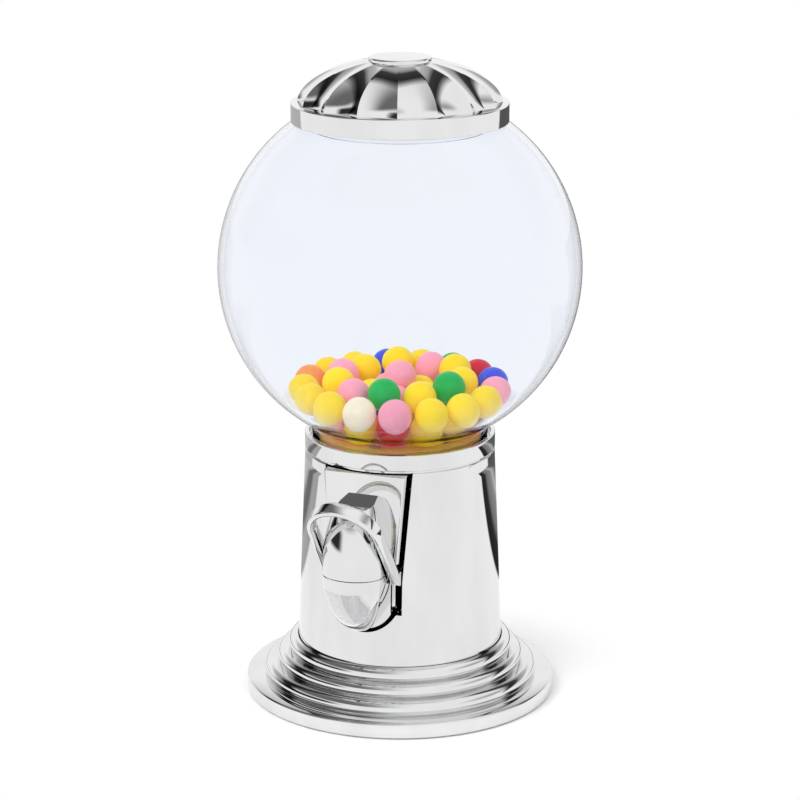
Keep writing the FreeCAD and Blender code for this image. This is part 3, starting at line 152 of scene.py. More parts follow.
class Bench:
    """Modelling steps that the pieces share, done with Blender's own operators."""

    @staticmethod
    def clear() -> None:
        """Leave edit mode and deselect everything."""
        if bpy.context.mode != "OBJECT":
            bpy.ops.object.mode_set(mode="OBJECT")
        bpy.ops.object.select_all(action="DESELECT")

    @staticmethod
    def take(obj: Object) -> None:
        """Make one object the only selected and active one."""
        Bench.clear()
        obj.select_set(True)
        bpy.context.view_layer.objects.active = obj

    @staticmethod
    def edit(obj: Object, select: str = "SELECT") -> None:
        """Enter edit mode on an object, with its whole mesh selected or deselected."""
        Bench.take(obj)
        bpy.ops.object.mode_set(mode="EDIT")
        bpy.ops.mesh.select_mode(type="VERT")
        bpy.ops.mesh.select_all(action=select)

    @staticmethod
    def close(obj: Object) -> Object:
        """Merge doubled points, turn the faces outwards and leave edit mode."""
        Bench.edit(obj)
        bpy.ops.mesh.remove_doubles(threshold=MERGE)
        bpy.ops.mesh.normals_make_consistent(inside=False)
        bpy.ops.object.mode_set(mode="OBJECT")
        return obj

    @staticmethod
    def smooth(obj: Object, degrees: float = 30.0) -> Object:
        """Shade an object smooth, with edges sharper than an angle kept crisp."""
        Bench.take(obj)
        bpy.ops.object.shade_smooth_by_angle(angle=math.radians(degrees))
        return obj

    @staticmethod
    def settle(obj: Object) -> Object:
        """Put an object's place, turn and scale into its mesh."""
        Bench.take(obj)
        bpy.ops.object.transform_apply(location=True, rotation=True, scale=True)
        return obj

    @staticmethod
    def lathe(name: str, rings: Sequence[Ring], steps: int = ROUND_STEPS) -> Object:
        """Draw a profile round the machine's axis, ring by ring.

        Args:
            name: Name of the new object.
            rings: Radius and height of each ring. A closed wall ends on its first ring.
            steps: Segments round the axis.

        Returns:
            The turned object.
        """
        Bench.clear()
        radius, height = rings[0]
        bpy.ops.mesh.primitive_circle_add(vertices=steps, radius=radius * MM, location=(0, 0, height * MM))
        obj = bpy.context.object
        obj.name = name
        Bench.settle(obj)
        Bench.edit(obj)
        for (radius, height), (next_radius, next_height) in zip(rings, rings[1:]):
            rise = (0, 0, (next_height - height) * MM)
            bpy.ops.mesh.extrude_region_move(TRANSFORM_OT_translate={"value": rise})
            if next_radius == 0:
                bpy.ops.mesh.merge(type="CENTER")
            else:
                ratio = next_radius / radius
                bpy.ops.transform.resize(value=(ratio, ratio, 1), center_override=(0, 0, 0))
        return Bench.close(obj)

    @staticmethod
    def sheet(name: str, outline: Sequence[Point]) -> Object:
        """Fill a flat outline given in millimetres with one face, and enter edit mode on it."""
        Bench.clear()
        bpy.ops.mesh.primitive_circle_add(vertices=len(outline), radius=MM, fill_type="NGON")
        obj = bpy.context.object
        obj.name = name
        for vertex, corner in zip(obj.data.vertices, outline):
            vertex.co = Vector(corner) * MM
        Bench.edit(obj)
        return obj

    @staticmethod
    def prism(name: str, outline: Sequence[Point], depth: Point) -> Object:
        """Fill a flat outline and extrude it to a closed solid, in millimetres."""
        obj = Bench.sheet(name, outline)
        bpy.ops.mesh.extrude_region_move(TRANSFORM_OT_translate={"value": Vector(depth) * MM})
        return Bench.close(obj)

    @staticmethod
    def block(name: str, low: Point, high: Point) -> Object:
        """Make a box between two corners given in millimetres."""
        corners = [(low[0], low[1], low[2]), (high[0], low[1], low[2]),
                   (high[0], low[1], high[2]), (low[0], low[1], high[2])]
        return Bench.prism(name, corners, (0, high[1] - low[1], 0))

    @staticmethod
    def pick(obj: Object, kind: str, wanted: Callable[[object], bool]) -> None:
        """Enter edit mode with only the wanted edges or faces selected.

        Args:
            obj: The object to edit.
            kind: EDGE or FACE.
            wanted: Whether an edge or face of its mesh is to be selected.
        """
        Bench.edit(obj, "DESELECT")
        bpy.ops.mesh.select_mode(type=kind)
        bpy.ops.object.mode_set(mode="OBJECT")
        for item in obj.data.edges if kind == "EDGE" else obj.data.polygons:
            item.select = wanted(item)
        bpy.ops.object.mode_set(mode="EDIT")

    @staticmethod
    def slice(obj: Object, place: Point, normal: Point) -> None:
        """Cut away the side of a plane that its normal points to, and close the cut."""
        Bench.edit(obj)
        bpy.ops.mesh.bisect(plane_co=Vector(place) * MM, plane_no=normal, use_fill=True, clear_outer=True)
        bpy.ops.object.mode_set(mode="OBJECT")

    @staticmethod
    def modify(obj: Object, kind: str, **settings: object) -> None:
        """Add a modifier and apply it at once."""
        Bench.take(obj)
        modifier = obj.modifiers.new(kind.lower(), kind)
        for key, value in settings.items():
            setattr(modifier, key, value)
        bpy.ops.object.modifier_apply(modifier=modifier.name)

    @staticmethod
    def ease(obj: Object, width: float, segments: int, degrees: float) -> None:
        """Round the edges that are sharper than an angle."""
        Bench.modify(obj, "BEVEL", width=width * MM, segments=segments, limit_method="ANGLE",
                     angle_limit=math.radians(degrees))

    @staticmethod
    def carve(obj: Object, cutter: Object) -> None:
        """Cut one solid out of another and throw the cutter away."""
        Bench.modify(obj, "BOOLEAN", operation="DIFFERENCE", solver="EXACT", object=cutter)
        bpy.data.objects.remove(cutter)

    @staticmethod
    def weld(obj: Object, other: Object) -> None:
        """Make one solid of two and throw the second away."""
        Bench.modify(obj, "BOOLEAN", operation="UNION", solver="EXACT", object=other)
        bpy.data.objects.remove(other)

    @staticmethod
    def join(pieces: Sequence[Object], name: str) -> Object:
        """Join objects into the first one and name it."""
        Bench.take(pieces[0])
        for piece in pieces:
            piece.select_set(True)
        bpy.ops.object.join()
        pieces[0].name = name
        return pieces[0]


class Wire:
    """A shader socket that takes part in Python expressions."""

    def __init__(self, shader: "Shader", socket: bpy.types.NodeSocket) -> None:
        """Hold the socket and the shader that new nodes go into."""
        self.shader = shader
        self.socket = socket

    def _math(self, operation: str, first: object, second: object) -> "Wire":
        """Add one Math node for two values."""
        node = self.shader.node("ShaderNodeMath", {"operation": operation}, {0: first, 1: second})
        return Wire(self.shader, node.outputs[0])

    def __add__(self, other: object) -> "Wire":
        """Add a value."""
        return self._math("ADD", self, other)

    __radd__ = __add__

    def __sub__(self, other: object) -> "Wire":
        """Take a value away."""
        return self._math("SUBTRACT", self, other)

    def __rsub__(self, other: object) -> "Wire":
        """Take this away from a value."""
        return self._math("SUBTRACT", other, self)

    def __mul__(self, other: object) -> "Wire":
        """Multiply by a value."""
        return self._math("MULTIPLY", self, other)

    __rmul__ = __mul__

    def __truediv__(self, other: object) -> "Wire":
        """Divide by a value."""
        return self._math("DIVIDE", self, other)

    def most(self, other: object) -> "Wire":
        """Give the larger of two values."""
        return self._math("MAXIMUM", self, other)

    def turned_from(self, other: object) -> "Wire":
        """Give the angle, in radians, of a direction with this height and the other length."""
        return self._math("ARCTAN2", self, other)

    def rise(self, low: float, high: float) -> "Wire":
        """Go smoothly from nought at one value to one at another."""
        settings = {"interpolation_type": "SMOOTHSTEP"}
        sockets = {"Value": self, "From Min": low, "From Max": high, "To Min": 0.0, "To Max": 1.0}
        if low > high:
            sockets.update({"From Min": high, "From Max": low, "To Min": 1.0, "To Max": 0.0})
        node = self.shader.node("ShaderNodeMapRange", settings, sockets)
        return Wire(self.shader, node.outputs["Result"])


class Shader:
    """A node tree under construction, for a material or the world."""

    def __init__(self, tree: bpy.types.NodeTree, made: bpy.types.ID) -> None:
        """Empty the tree of a material or world."""
        self.tree = tree
        self.made = made
        tree.nodes.clear()

    @classmethod
    def material(cls, name: str) -> "Shader":
        """Start a new material."""
        made = bpy.data.materials.new(name)
        made.use_nodes = True
        return cls(made.node_tree, made)

    def node(self, kind: str, settings: dict | None = None, sockets: dict | None = None) -> bpy.types.Node:
        """Add one node.

        Args:
            kind: Blender's name of the node's type.
            settings: Properties, set first.
            sockets: Values or wires by the socket's name or number.

        Returns:
            The new node.
        """
        made = self.tree.nodes.new(kind)
        for key, value in (settings or {}).items():
            setattr(made, key, value)
        for key, value in (sockets or {}).items():
            if isinstance(value, Wire):
                self.tree.links.new(value.socket, made.inputs[key])
            else:
                made.inputs[key].default_value = value
        return made

    def ramp(self, value: Wire, levels: Sequence[Ring]) -> Wire:
        """Look a value up in a ramp of places and grey levels."""
        made = self.node("ShaderNodeValToRGB", None, {0: value})
        elements = made.color_ramp.elements
        for place, _ in levels[2:]:
            elements.new(place)
        for element, (place, level) in zip(elements, levels):
            element.position = place
            element.color = grey(level)
        return self.out(made)

    def ray(self, kind: str) -> Wire:
        """One for light rays of a kind, such as Camera or Glossy."""
        return self.out(self.node("ShaderNodeLightPath"), f"Is {kind} Ray")

    def either(self, share: Wire, first: Wire, second: Wire) -> Wire:
        """Mix two shades."""
        return self.out(self.node("ShaderNodeMixShader", None, {0: share, 1: first, 2: second}))

    def out(self, made: bpy.types.Node, name: str | int = 0) -> Wire:
        """Wrap an output of a node."""
        return Wire(self, made.outputs[name])

    def place(self, scale: Point) -> Wire:
        """Object coordinates, stretched along each axis."""
        sockets = {"Vector": self.out(self.node("ShaderNodeTexCoord"), "Object"), "Scale": scale}
        return self.out(self.node("ShaderNodeMapping", None, sockets))

    def noise(self, scale: float, detail: float = 3.0, stretch: Point = (1, 1, 1)) -> Wire:
        """Noise about one half, with so many waves per metre and so many finer layers."""
        sockets = {"Vector": self.place(stretch), "Scale": scale, "Detail": detail}
        return self.out(self.node("ShaderNodeTexNoise", None, sockets), "Fac")

    def blend(self, share: object, first: object, second: object) -> Wire:
        """Mix two colours."""
        made = self.node("ShaderNodeMix", {"data_type": "RGBA"}, {0: share, 6: first, 7: second})
        return self.out(made, 2)

    def bump(self, height: Wire, strength: float, depth: float) -> Wire:
        """Turn a height in the pattern's own units into a normal.

        Args:
            height: Height of the surface from nought to one.
            strength: Share of the bump that shows.
            depth: Depth in millimetres that a height of one stands for.

        Returns:
            The normal.
        """
        sockets = {"Height": height, "Strength": strength, "Distance": depth * MM}
        return self.out(self.node("ShaderNodeBump", None, sockets))

    def surface(self, **sockets: object) -> Wire:
        """Add the main surface shader. Underscores in names stand for spaces."""
        named = {key.replace("_", " "): value for key, value in sockets.items()}
        return self.out(self.node("ShaderNodeBsdfPrincipled", None, named))

    def finish(self, shade: Wire, output: str = "ShaderNodeOutputMaterial") -> None:
        """Link the result to the tree's output."""
        self.node(output, None, {"Surface": shade})


@dataclass(frozen=True)
class Finish:
    """A named finish. Each kind says how its surface is shaded."""

    name: str

    def shade(self, shader: Shader) -> Wire:
        """Add the nodes of the surface to a new material."""
        raise NotImplementedError

    def make(self) -> bpy.types.Material:
        """Build the material."""
        shader = Shader.material(self.name)
        shader.finish(self.shade(shader))
        return shader.made


@dataclass(frozen=True)
class PolishedMetal(Finish):
    """Bright plated metal with faint wipe marks."""

    name: str = "polished_metal"
    tint: Colour = field(default_factory=lambda: (0.80, 0.803, 0.808, 1.0))
    roughness: float = 0.018
    wiped: float = 0.03
    worn: float = 0.75
    cloth_waves: float = 55.0
    hair_waves: float = 1400.0

    def shade(self, shader: Shader) -> Wire:
        """Add the nodes of the surface."""
        cloth = shader.noise(self.cloth_waves, 4.0, (1.0, 1.0, 0.3))
        hairs = shader.noise(self.hair_waves, 2.0, (1.0, 1.0, 0.08))
        rough = self.roughness + self.wiped * (cloth.rise(0.45, 0.75) * (0.4 + hairs))
        tone = shader.blend(cloth.rise(0.35, 0.7), self.tint, grey(self.worn))
        return shader.surface(Base_Color=tone, Metallic=1.0, Roughness=rough)


@dataclass(frozen=True)
class BareMetal(Finish):
    """Plain turned, cast or drawn metal inside the machine."""

    tint: Colour
    roughness: float
    grain: float
    stretch: Point = (1.0, 1.0, 1.0)
    dark: float = 0.72
    uneven: float = 0.16
    pits: float = 0.03

    def shade(self, shader: Shader) -> Wire:
        """Add the nodes of the surface."""
        pattern = shader.noise(self.grain, 5.0, self.stretch)
        dark = between(BLACK, self.tint, self.dark)
        tone = shader.blend(pattern.rise(0.3, 0.7), dark, self.tint)
        rough = self.roughness + self.uneven * pattern
        normal = shader.bump(pattern, 0.35, self.pits)
        return shader.surface(Base_Color=tone, Metallic=1.0, Roughness=rough, Normal=normal)


@dataclass(frozen=True)
class ClearGlass(Finish):
    """Blown glass: clear, faintly cool, with painted grey rims where it is seen edge on."""

    name: str = "clear_glass"
    tint: Colour = field(default_factory=lambda: colour("F7F9FD"))
    # painted shade: grey of the rims where the glass is seen edge on, in place of the dark reflections
    # there
    edge: Colour = field(default_factory=lambda: colour("C9D0D6"))
    index: float = 1.2
    waves: float = 14.0
    ripple: float = 0.35

    def shade(self, shader: Shader) -> Wire:
        """Add the nodes of the surface."""
        facing = shader.out(shader.node("ShaderNodeLayerWeight", None, {"Blend": 0.35}), "Facing")
        # painted reflection: the base colour turns grey where the glass is seen edge on
        tone = shader.blend(facing.rise(0.55, 1.0), self.tint, self.edge)
        normal = shader.bump(shader.noise(self.waves, 1.0), 0.12, self.ripple)
        glass = shader.surface(
            Base_Color=tone, Roughness=0.0, IOR=self.index, Transmission_Weight=1.0, Normal=normal
        )
        clear = shader.out(shader.node("ShaderNodeBsdfTransparent", None, {"Color": self.tint}))
        return shader.either(shader.ray("Shadow"), glass, clear)


@dataclass(frozen=True)
class CandyShell(Finish):
    """Hard sugar shell of a gumball, with a waxed shine, slightly uneven colour and a painted glow in its
    own colour that brightens the balls inside the globe.
    """

    tint: Colour
    # painted light: the shell glows in its own colour, so the balls read bright behind the glass
    glow: float = 0.12
    shine: float = 0.22
    wax: float = 0.07
    roughness: float = 0.24
    uneven: float = 0.2
    pale: float = 0.015
    deep: float = 0.92
    mottle_waves: float = 240.0
    dimple_waves: float = 420.0
    dimples: float = 0.06

    def shade(self, shader: Shader) -> Wire:
        """Add the nodes of the surface."""
        island = shader.out(shader.node("ShaderNodeNewGeometry"), "Random Per Island")
        mottle = shader.noise(self.mottle_waves, 4.0)
        ball = shader.blend(island, between(BLACK, self.tint, self.deep), self.tint)
        tone = shader.blend(mottle.rise(0.45, 0.8), ball, between(self.tint, WHITE, self.pale))
        rough = self.roughness + self.uneven * mottle
        normal = shader.bump(shader.noise(self.dimple_waves, 2.0), 0.25, self.dimples)
        # the emission below is painted light: the candy glows in its own colour
        return shader.surface(
            Base_Color=tone, Roughness=rough, Normal=normal, Specular_IOR_Level=self.shine,
            Coat_Weight=self.wax, Coat_Roughness=0.1, Emission_Color=tone, Emission_Strength=self.glow
        )


@dataclass(frozen=True)
class SoftMatter(Finish):
    """Felt, rubber, paint or plastic: a colour with a grain of its own."""

    tint: Colour
    roughness: float
    grain: float
    depth: float
    spread: float = 0.25
    # painted light when above nought: the material glows in its own colour; only the cup's lining uses it
    glow: float = 0.0
    uneven: float = 0.1

    def shade(self, shader: Shader) -> Wire:
        """Add the nodes of the surface."""
        pattern = shader.noise(self.grain, 6.0)
        dark = between(self.tint, BLACK, self.spread)
        tone = shader.blend(pattern.rise(0.3, 0.7), dark, self.tint)
        rough = self.roughness + self.uneven * pattern
        normal = shader.bump(pattern, 0.6, self.depth)
        return shader.surface(
            Base_Color=tone, Roughness=rough, Normal=normal,
            Emission_Color=tone, Emission_Strength=self.glow
        )


@dataclass(frozen=True)
class ClearPlastic(Finish):
    """Moulded clear plastic of the stopper ring."""

    name: str = "clear_plastic"
    tint: Colour = field(default_factory=lambda: colour("F7FAFC"))
    index: float = 1.46
    roughness: float = 0.05
    uneven: float = 0.1
    waves: float = 90.0

    def shade(self, shader: Shader) -> Wire:
        """Add the nodes of the surface."""
        rough = self.roughness + self.uneven * shader.noise(self.waves, 3.0)
        return shader.surface(
            Base_Color=self.tint, Roughness=rough, IOR=self.index, Transmission_Weight=1.0
        )


class Gum(Enum):
    """Colours of the gumballs by the name that ends their node and slot."""

    YELLOW = "FFDD1C"
    PINK = "FCA4B8"
    GREEN = "00AE4C"
    BLUE = "3850DC"
    RED = "DA1834"
    CREAM = "FFF1D2"
    ORANGE = "FA9C55"

    @property
    def node(self) -> str:
        """Node that holds the balls of this colour."""
        return "gumballs_" + self.name.lower()

    @property
    def slot(self) -> str:
        """Material slot of this colour."""
        return "gum_" + self.name.lower()


class Finishes:
    """Every finish of the machine, made once and handed out by slot."""

    def __init__(self) -> None:
        """Make the materials."""
        makers = {
            "chrome": PolishedMetal(),
            "glass": ClearGlass(),
            "liner_plastic": ClearPlastic(),
            "steel": BareMetal("satin_steel", colour("C4C6C9"), 0.26, 900.0, stretch=(1.0, 1.0, 0.15)),
            "cast_alloy": BareMetal("cast_alloy", colour("BCBEC0"), 0.38, 700.0),
            "brass": BareMetal("turned_brass", colour("CFA852"), 0.28, 800.0, stretch=(0.1, 1.0, 1.0)),
            "gasket": SoftMatter("gasket_rubber", colour("1B1B1C"), 0.55, 600.0, depth=0.05),
            "felt": SoftMatter("pressed_felt", colour("232325"), 0.9, 1800.0, depth=0.25, spread=0.5),
            "cover_paint": SoftMatter("black_enamel", colour("2A2A2C"), 0.35, 500.0, depth=0.03),
            "hopper_plastic": SoftMatter(
                "amber_plastic", colour("F0CD74"), 0.4, 450.0, depth=0.03, spread=0.08
            ),
            # painted light: the cup's inside gets a pale matte lining that glows, standing in for the
            # light seen inside the chrome cup
            "cup_lining_painted_glow": SoftMatter(
                "satin_lining", colour("F2F2F3"), 0.45, 450.0, depth=0.02, spread=0.05, glow=0.3
            ),
        }
        for gum in Gum:
            makers[gum.slot] = CandyShell("candy_" + gum.name.lower(), colour(gum.value))
        self.by_slot = {slot: maker.make() for slot, maker in makers.items()}

    def dress(self, obj: Object, slot: str) -> None:
        """Give an object the finish of a slot."""
        obj.data.materials.clear()
        obj.data.materials.append(self.by_slot[slot])


class Assembly:
    """Common work of the sub-assemblies: a new piece replaces its node and rides on its body."""

    body = "base"

    def __init__(self, finishes: Finishes) -> None:
        """Keep the finishes."""
        self.finishes = finishes

    def fit(self, obj: Object, node: str, slot: str) -> None:
        """Dress a finished piece and let it stand for its node.

        Args:
            obj: The finished piece, with its place in its mesh.
            node: The node that it stands for.
            slot: Its material slot.
        """
        self.finishes.dress(obj, slot)
        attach(obj, self.body)
        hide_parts(node)
        LOG.info("made %s for %s", obj.name, node)


@dataclass
class FootSizes:
    """Driving sizes of the turned foot."""

    edge: float = 74.0
    lift: float = 0.6
    flange_top: float = 7.6
    edge_round: float = 0.8
    ring_tops: tuple[float, float, float] = (14.2, 20.0, 26.4)
    ring_contacts: tuple[float, float, float] = (64.0, 57.5, 52.2)
    bulge: float = 1.5
    bore: float = 49.4
    ledge_inner: float = 36.0
    ledge_low: float = 17.0
    wall: float = 2.6
    rim: float = 3.5


class Foot(Assembly):
    """Turned foot with a flat edge and three beads."""

    sizes = FootSizes()

    def profile(self) -> list[Ring]:
        """Outside and inside of the foot as one closed wall."""
        s = self.sizes
        lows = (s.flange_top,) + s.ring_tops[:-1]
        inner = s.edge - s.rim
        rings = [(inner, s.lift)] + eased(s.edge, s.lift, s.flange_top, s.edge_round)
        beyond = s.ring_contacts[1:] + (s.bore,)
        for contact, low, top, inside in zip(s.ring_contacts, lows, s.ring_tops, beyond):
            neck = min(contact - s.bulge, (contact + inside) / 2)
            rings += arc((contact, low), (contact + s.bulge, (low + top) / 2), (neck, top), 18)
        rings += [(s.bore, s.ring_tops[-1]), (s.bore, s.ring_tops[1]), (s.ledge_inner, s.ring_tops[1])]
        third = s.ring_contacts[1] - s.wall
        second = s.ring_contacts[0] - s.wall
        rings += [(s.ledge_inner, s.ledge_low), (third, s.ledge_low), (third, s.ring_tops[0] - s.wall)]
        rings += [(second, s.ring_tops[0] - s.wall), (second, s.flange_top - s.wall)]
        return rings + [(inner, s.flange_top - s.wall), (inner, s.lift)]

    def build(self) -> None:
        """Turn the foot."""
        foot = Bench.lathe("foot_turning", self.profile(), FINE_STEPS)
        self.fit(Bench.smooth(foot), "foot", "chrome")


@dataclass
class FaceSizes:
    """Flat face of the front panel, and the slots beside it."""

    lean: float = 4.2 / 99.7
    foot: float = 45.61 + 4.2 / 99.7 * 119.7
    top: float = 119.3
    top_half: float = 20.0
    low_half: float = 16.0
    low_centre: float = 60.3
    gap: float = 1.8
    slot_low: float = 51.5
    slot_high: float = 77.4
    slot_outer: float = 18.3
    slot_front: float = -80.0
    slot_back: float = -20.0
    slot_beyond: float = 30.0
    waist: float = 14.3

    def outline(self, extra: float, rise: float) -> list[Point]:
        """Corners of the panel in its own plane, grown sideways and raised at the top."""
        low = self.low_half + extra
        top = self.top + rise
        widening = (self.top_half - self.low_half) / (self.top - self.low_centre)
        high = low + widening * (top - self.low_centre)
        bottom = arc((low, self.low_centre), (0, self.low_centre - low), (-low, self.low_centre), 40)
        return [(-high, 0, top), (high, 0, top)] + [(x, 0, z) for x, z in bottom]

    def slot(self, name: str, start: float, end: float) -> Object:
        """Cutter for the lever's slots between two places across the front."""
        low = (start, self.slot_front, self.slot_low)
        return Bench.block(name, low, (end, self.slot_back, self.slot_high))

    def lean_back(self, obj: Object) -> Object:
        """Move a piece drawn on the plane Y = 0 onto the leaning face."""
        obj.rotation_euler = (-math.atan(self.lean), 0, 0)
        obj.location = (0, -self.foot * MM, 0)
        return Bench.settle(obj)


FACE = FaceSizes()


@dataclass
class ColumnSizes:
    """Driving sizes of the tapering column and the seat band on it."""

    low: float = 20.0
    top: float = 119.7
    low_radius: float = 49.2
    top_radius: float = 45.0
    wall: float = 2.0
    flange_inner: float = 38.5
    flange_top: float = 23.0
    top_round: float = 0.5
    shoulder_in: float = 0.3
    shoulder_down: float = 0.25
    band_radius: float = 45.1
    band_low: float = 120.7
    band_top: float = 128.4
    band_wall: float = 2.0
    band_round: float = 0.5
    groove: float = 44.2
    deck_top: float = 122.7
    deck_inner: float = 28.5
    cut_above: float = 60.0
    cut_deep: float = 40.0
    cut_before: float = 10.0


class Column(Assembly):
    """Column with the opening for the front panel, and the seat band."""

    sizes = ColumnSizes()

    def column(self) -> None:
        """Turn the cone, then cut the panel's opening and the lever's slots."""
        s = self.sizes
        under = (s.top_radius + s.top_round * FACE.lean, s.top - s.top_round)
        wall = run((s.low_radius, s.low), under, 14)
        shoulder = (s.top_radius - s.top_round * s.shoulder_in, s.top - s.top_round * s.shoulder_down)
        rings = wall + [shoulder]
        rings += [(s.top_radius - s.top_round, s.top), (s.top_radius - s.wall, s.top)]
        inner_low = s.low_radius - s.wall - FACE.lean * (s.flange_top - s.low)
        rings += [(inner_low, s.flange_top), (s.flange_inner, s.flange_top), (s.flange_inner, s.low)]
        shell = Bench.lathe("column_shell", rings + [(s.low_radius, s.low)], FINE_STEPS)
        shell.rotation_euler = (0, 0, math.pi / FINE_STEPS)
        Bench.settle(shell)
        opening = Bench.prism("opening", FACE.outline(FACE.gap, s.cut_above), (0, s.cut_deep, 0))
        opening.location = (0, -s.cut_before * MM, 0)
        Bench.settle(opening)
        Bench.carve(shell, FACE.lean_back(opening))
        Bench.carve(shell, FACE.slot("slots", -FACE.slot_outer, FACE.slot_outer))
        self.fit(Bench.smooth(shell), "column", "chrome")

    def seat(self) -> None:
        """Turn the seat band with its groove and deck."""
        s = self.sizes
        inner = s.band_radius - s.band_wall
        rings = [(s.groove, s.top), (s.groove, s.band_low)]
        rings += eased(s.band_radius, s.band_low, s.band_top, s.band_round)
        rings += [(inner, s.band_top), (inner, s.deck_top), (s.deck_inner, s.deck_top)]
        rings += [(s.deck_inner, s.top), (s.groove, s.top)]
        self.fit(Bench.smooth(Bench.lathe("seat_band", rings, FINE_STEPS)), "seat_ring", "chrome")

    def build(self) -> None:
        """Make both pieces."""
        self.column()
        self.seat()


@dataclass
class FrontSizes:
    """Driving sizes of the panel, hood and cup, measured off the panel's face."""

    panel_depth: float = 12.0
    panel_plate: float = 2.0
    panel_wall: float = 1.6
    panel_round: float = 0.6
    window_half: float = 9.4
    window_low: float = 71.5
    window_high: float = 92.5
    window_cut: float = 5.0
    wall: float = 1.6
    half: float = 14.3
    straight: float = 12.0
    depth: float = 24.0
    hood_low: float = 74.0
    hood_waist: float = 80.0
    hood_rise: float = 34.3
    hood_end: float = 80.0
    hood_top: float = 109.5
    hood_slope: float = 0.27
    hood_ease: float = 0.45
    cup_rim: float = 73.6
    cup_drop: float = 29.5
    cup_end: float = 76.0
    cup_band: float = 5.2
    cup_ease: float = 0.35
    mouth_half: float = 11.8
    mouth_tall: float = 18.9
    mouth_sag: float = 1.2
    mouth_back: float = 8.0
    mouth_cut: float = 60.0
    inwards: float = -0.2
    upwards: float = 0.3
    levels: int = 20
    turns: int = 48


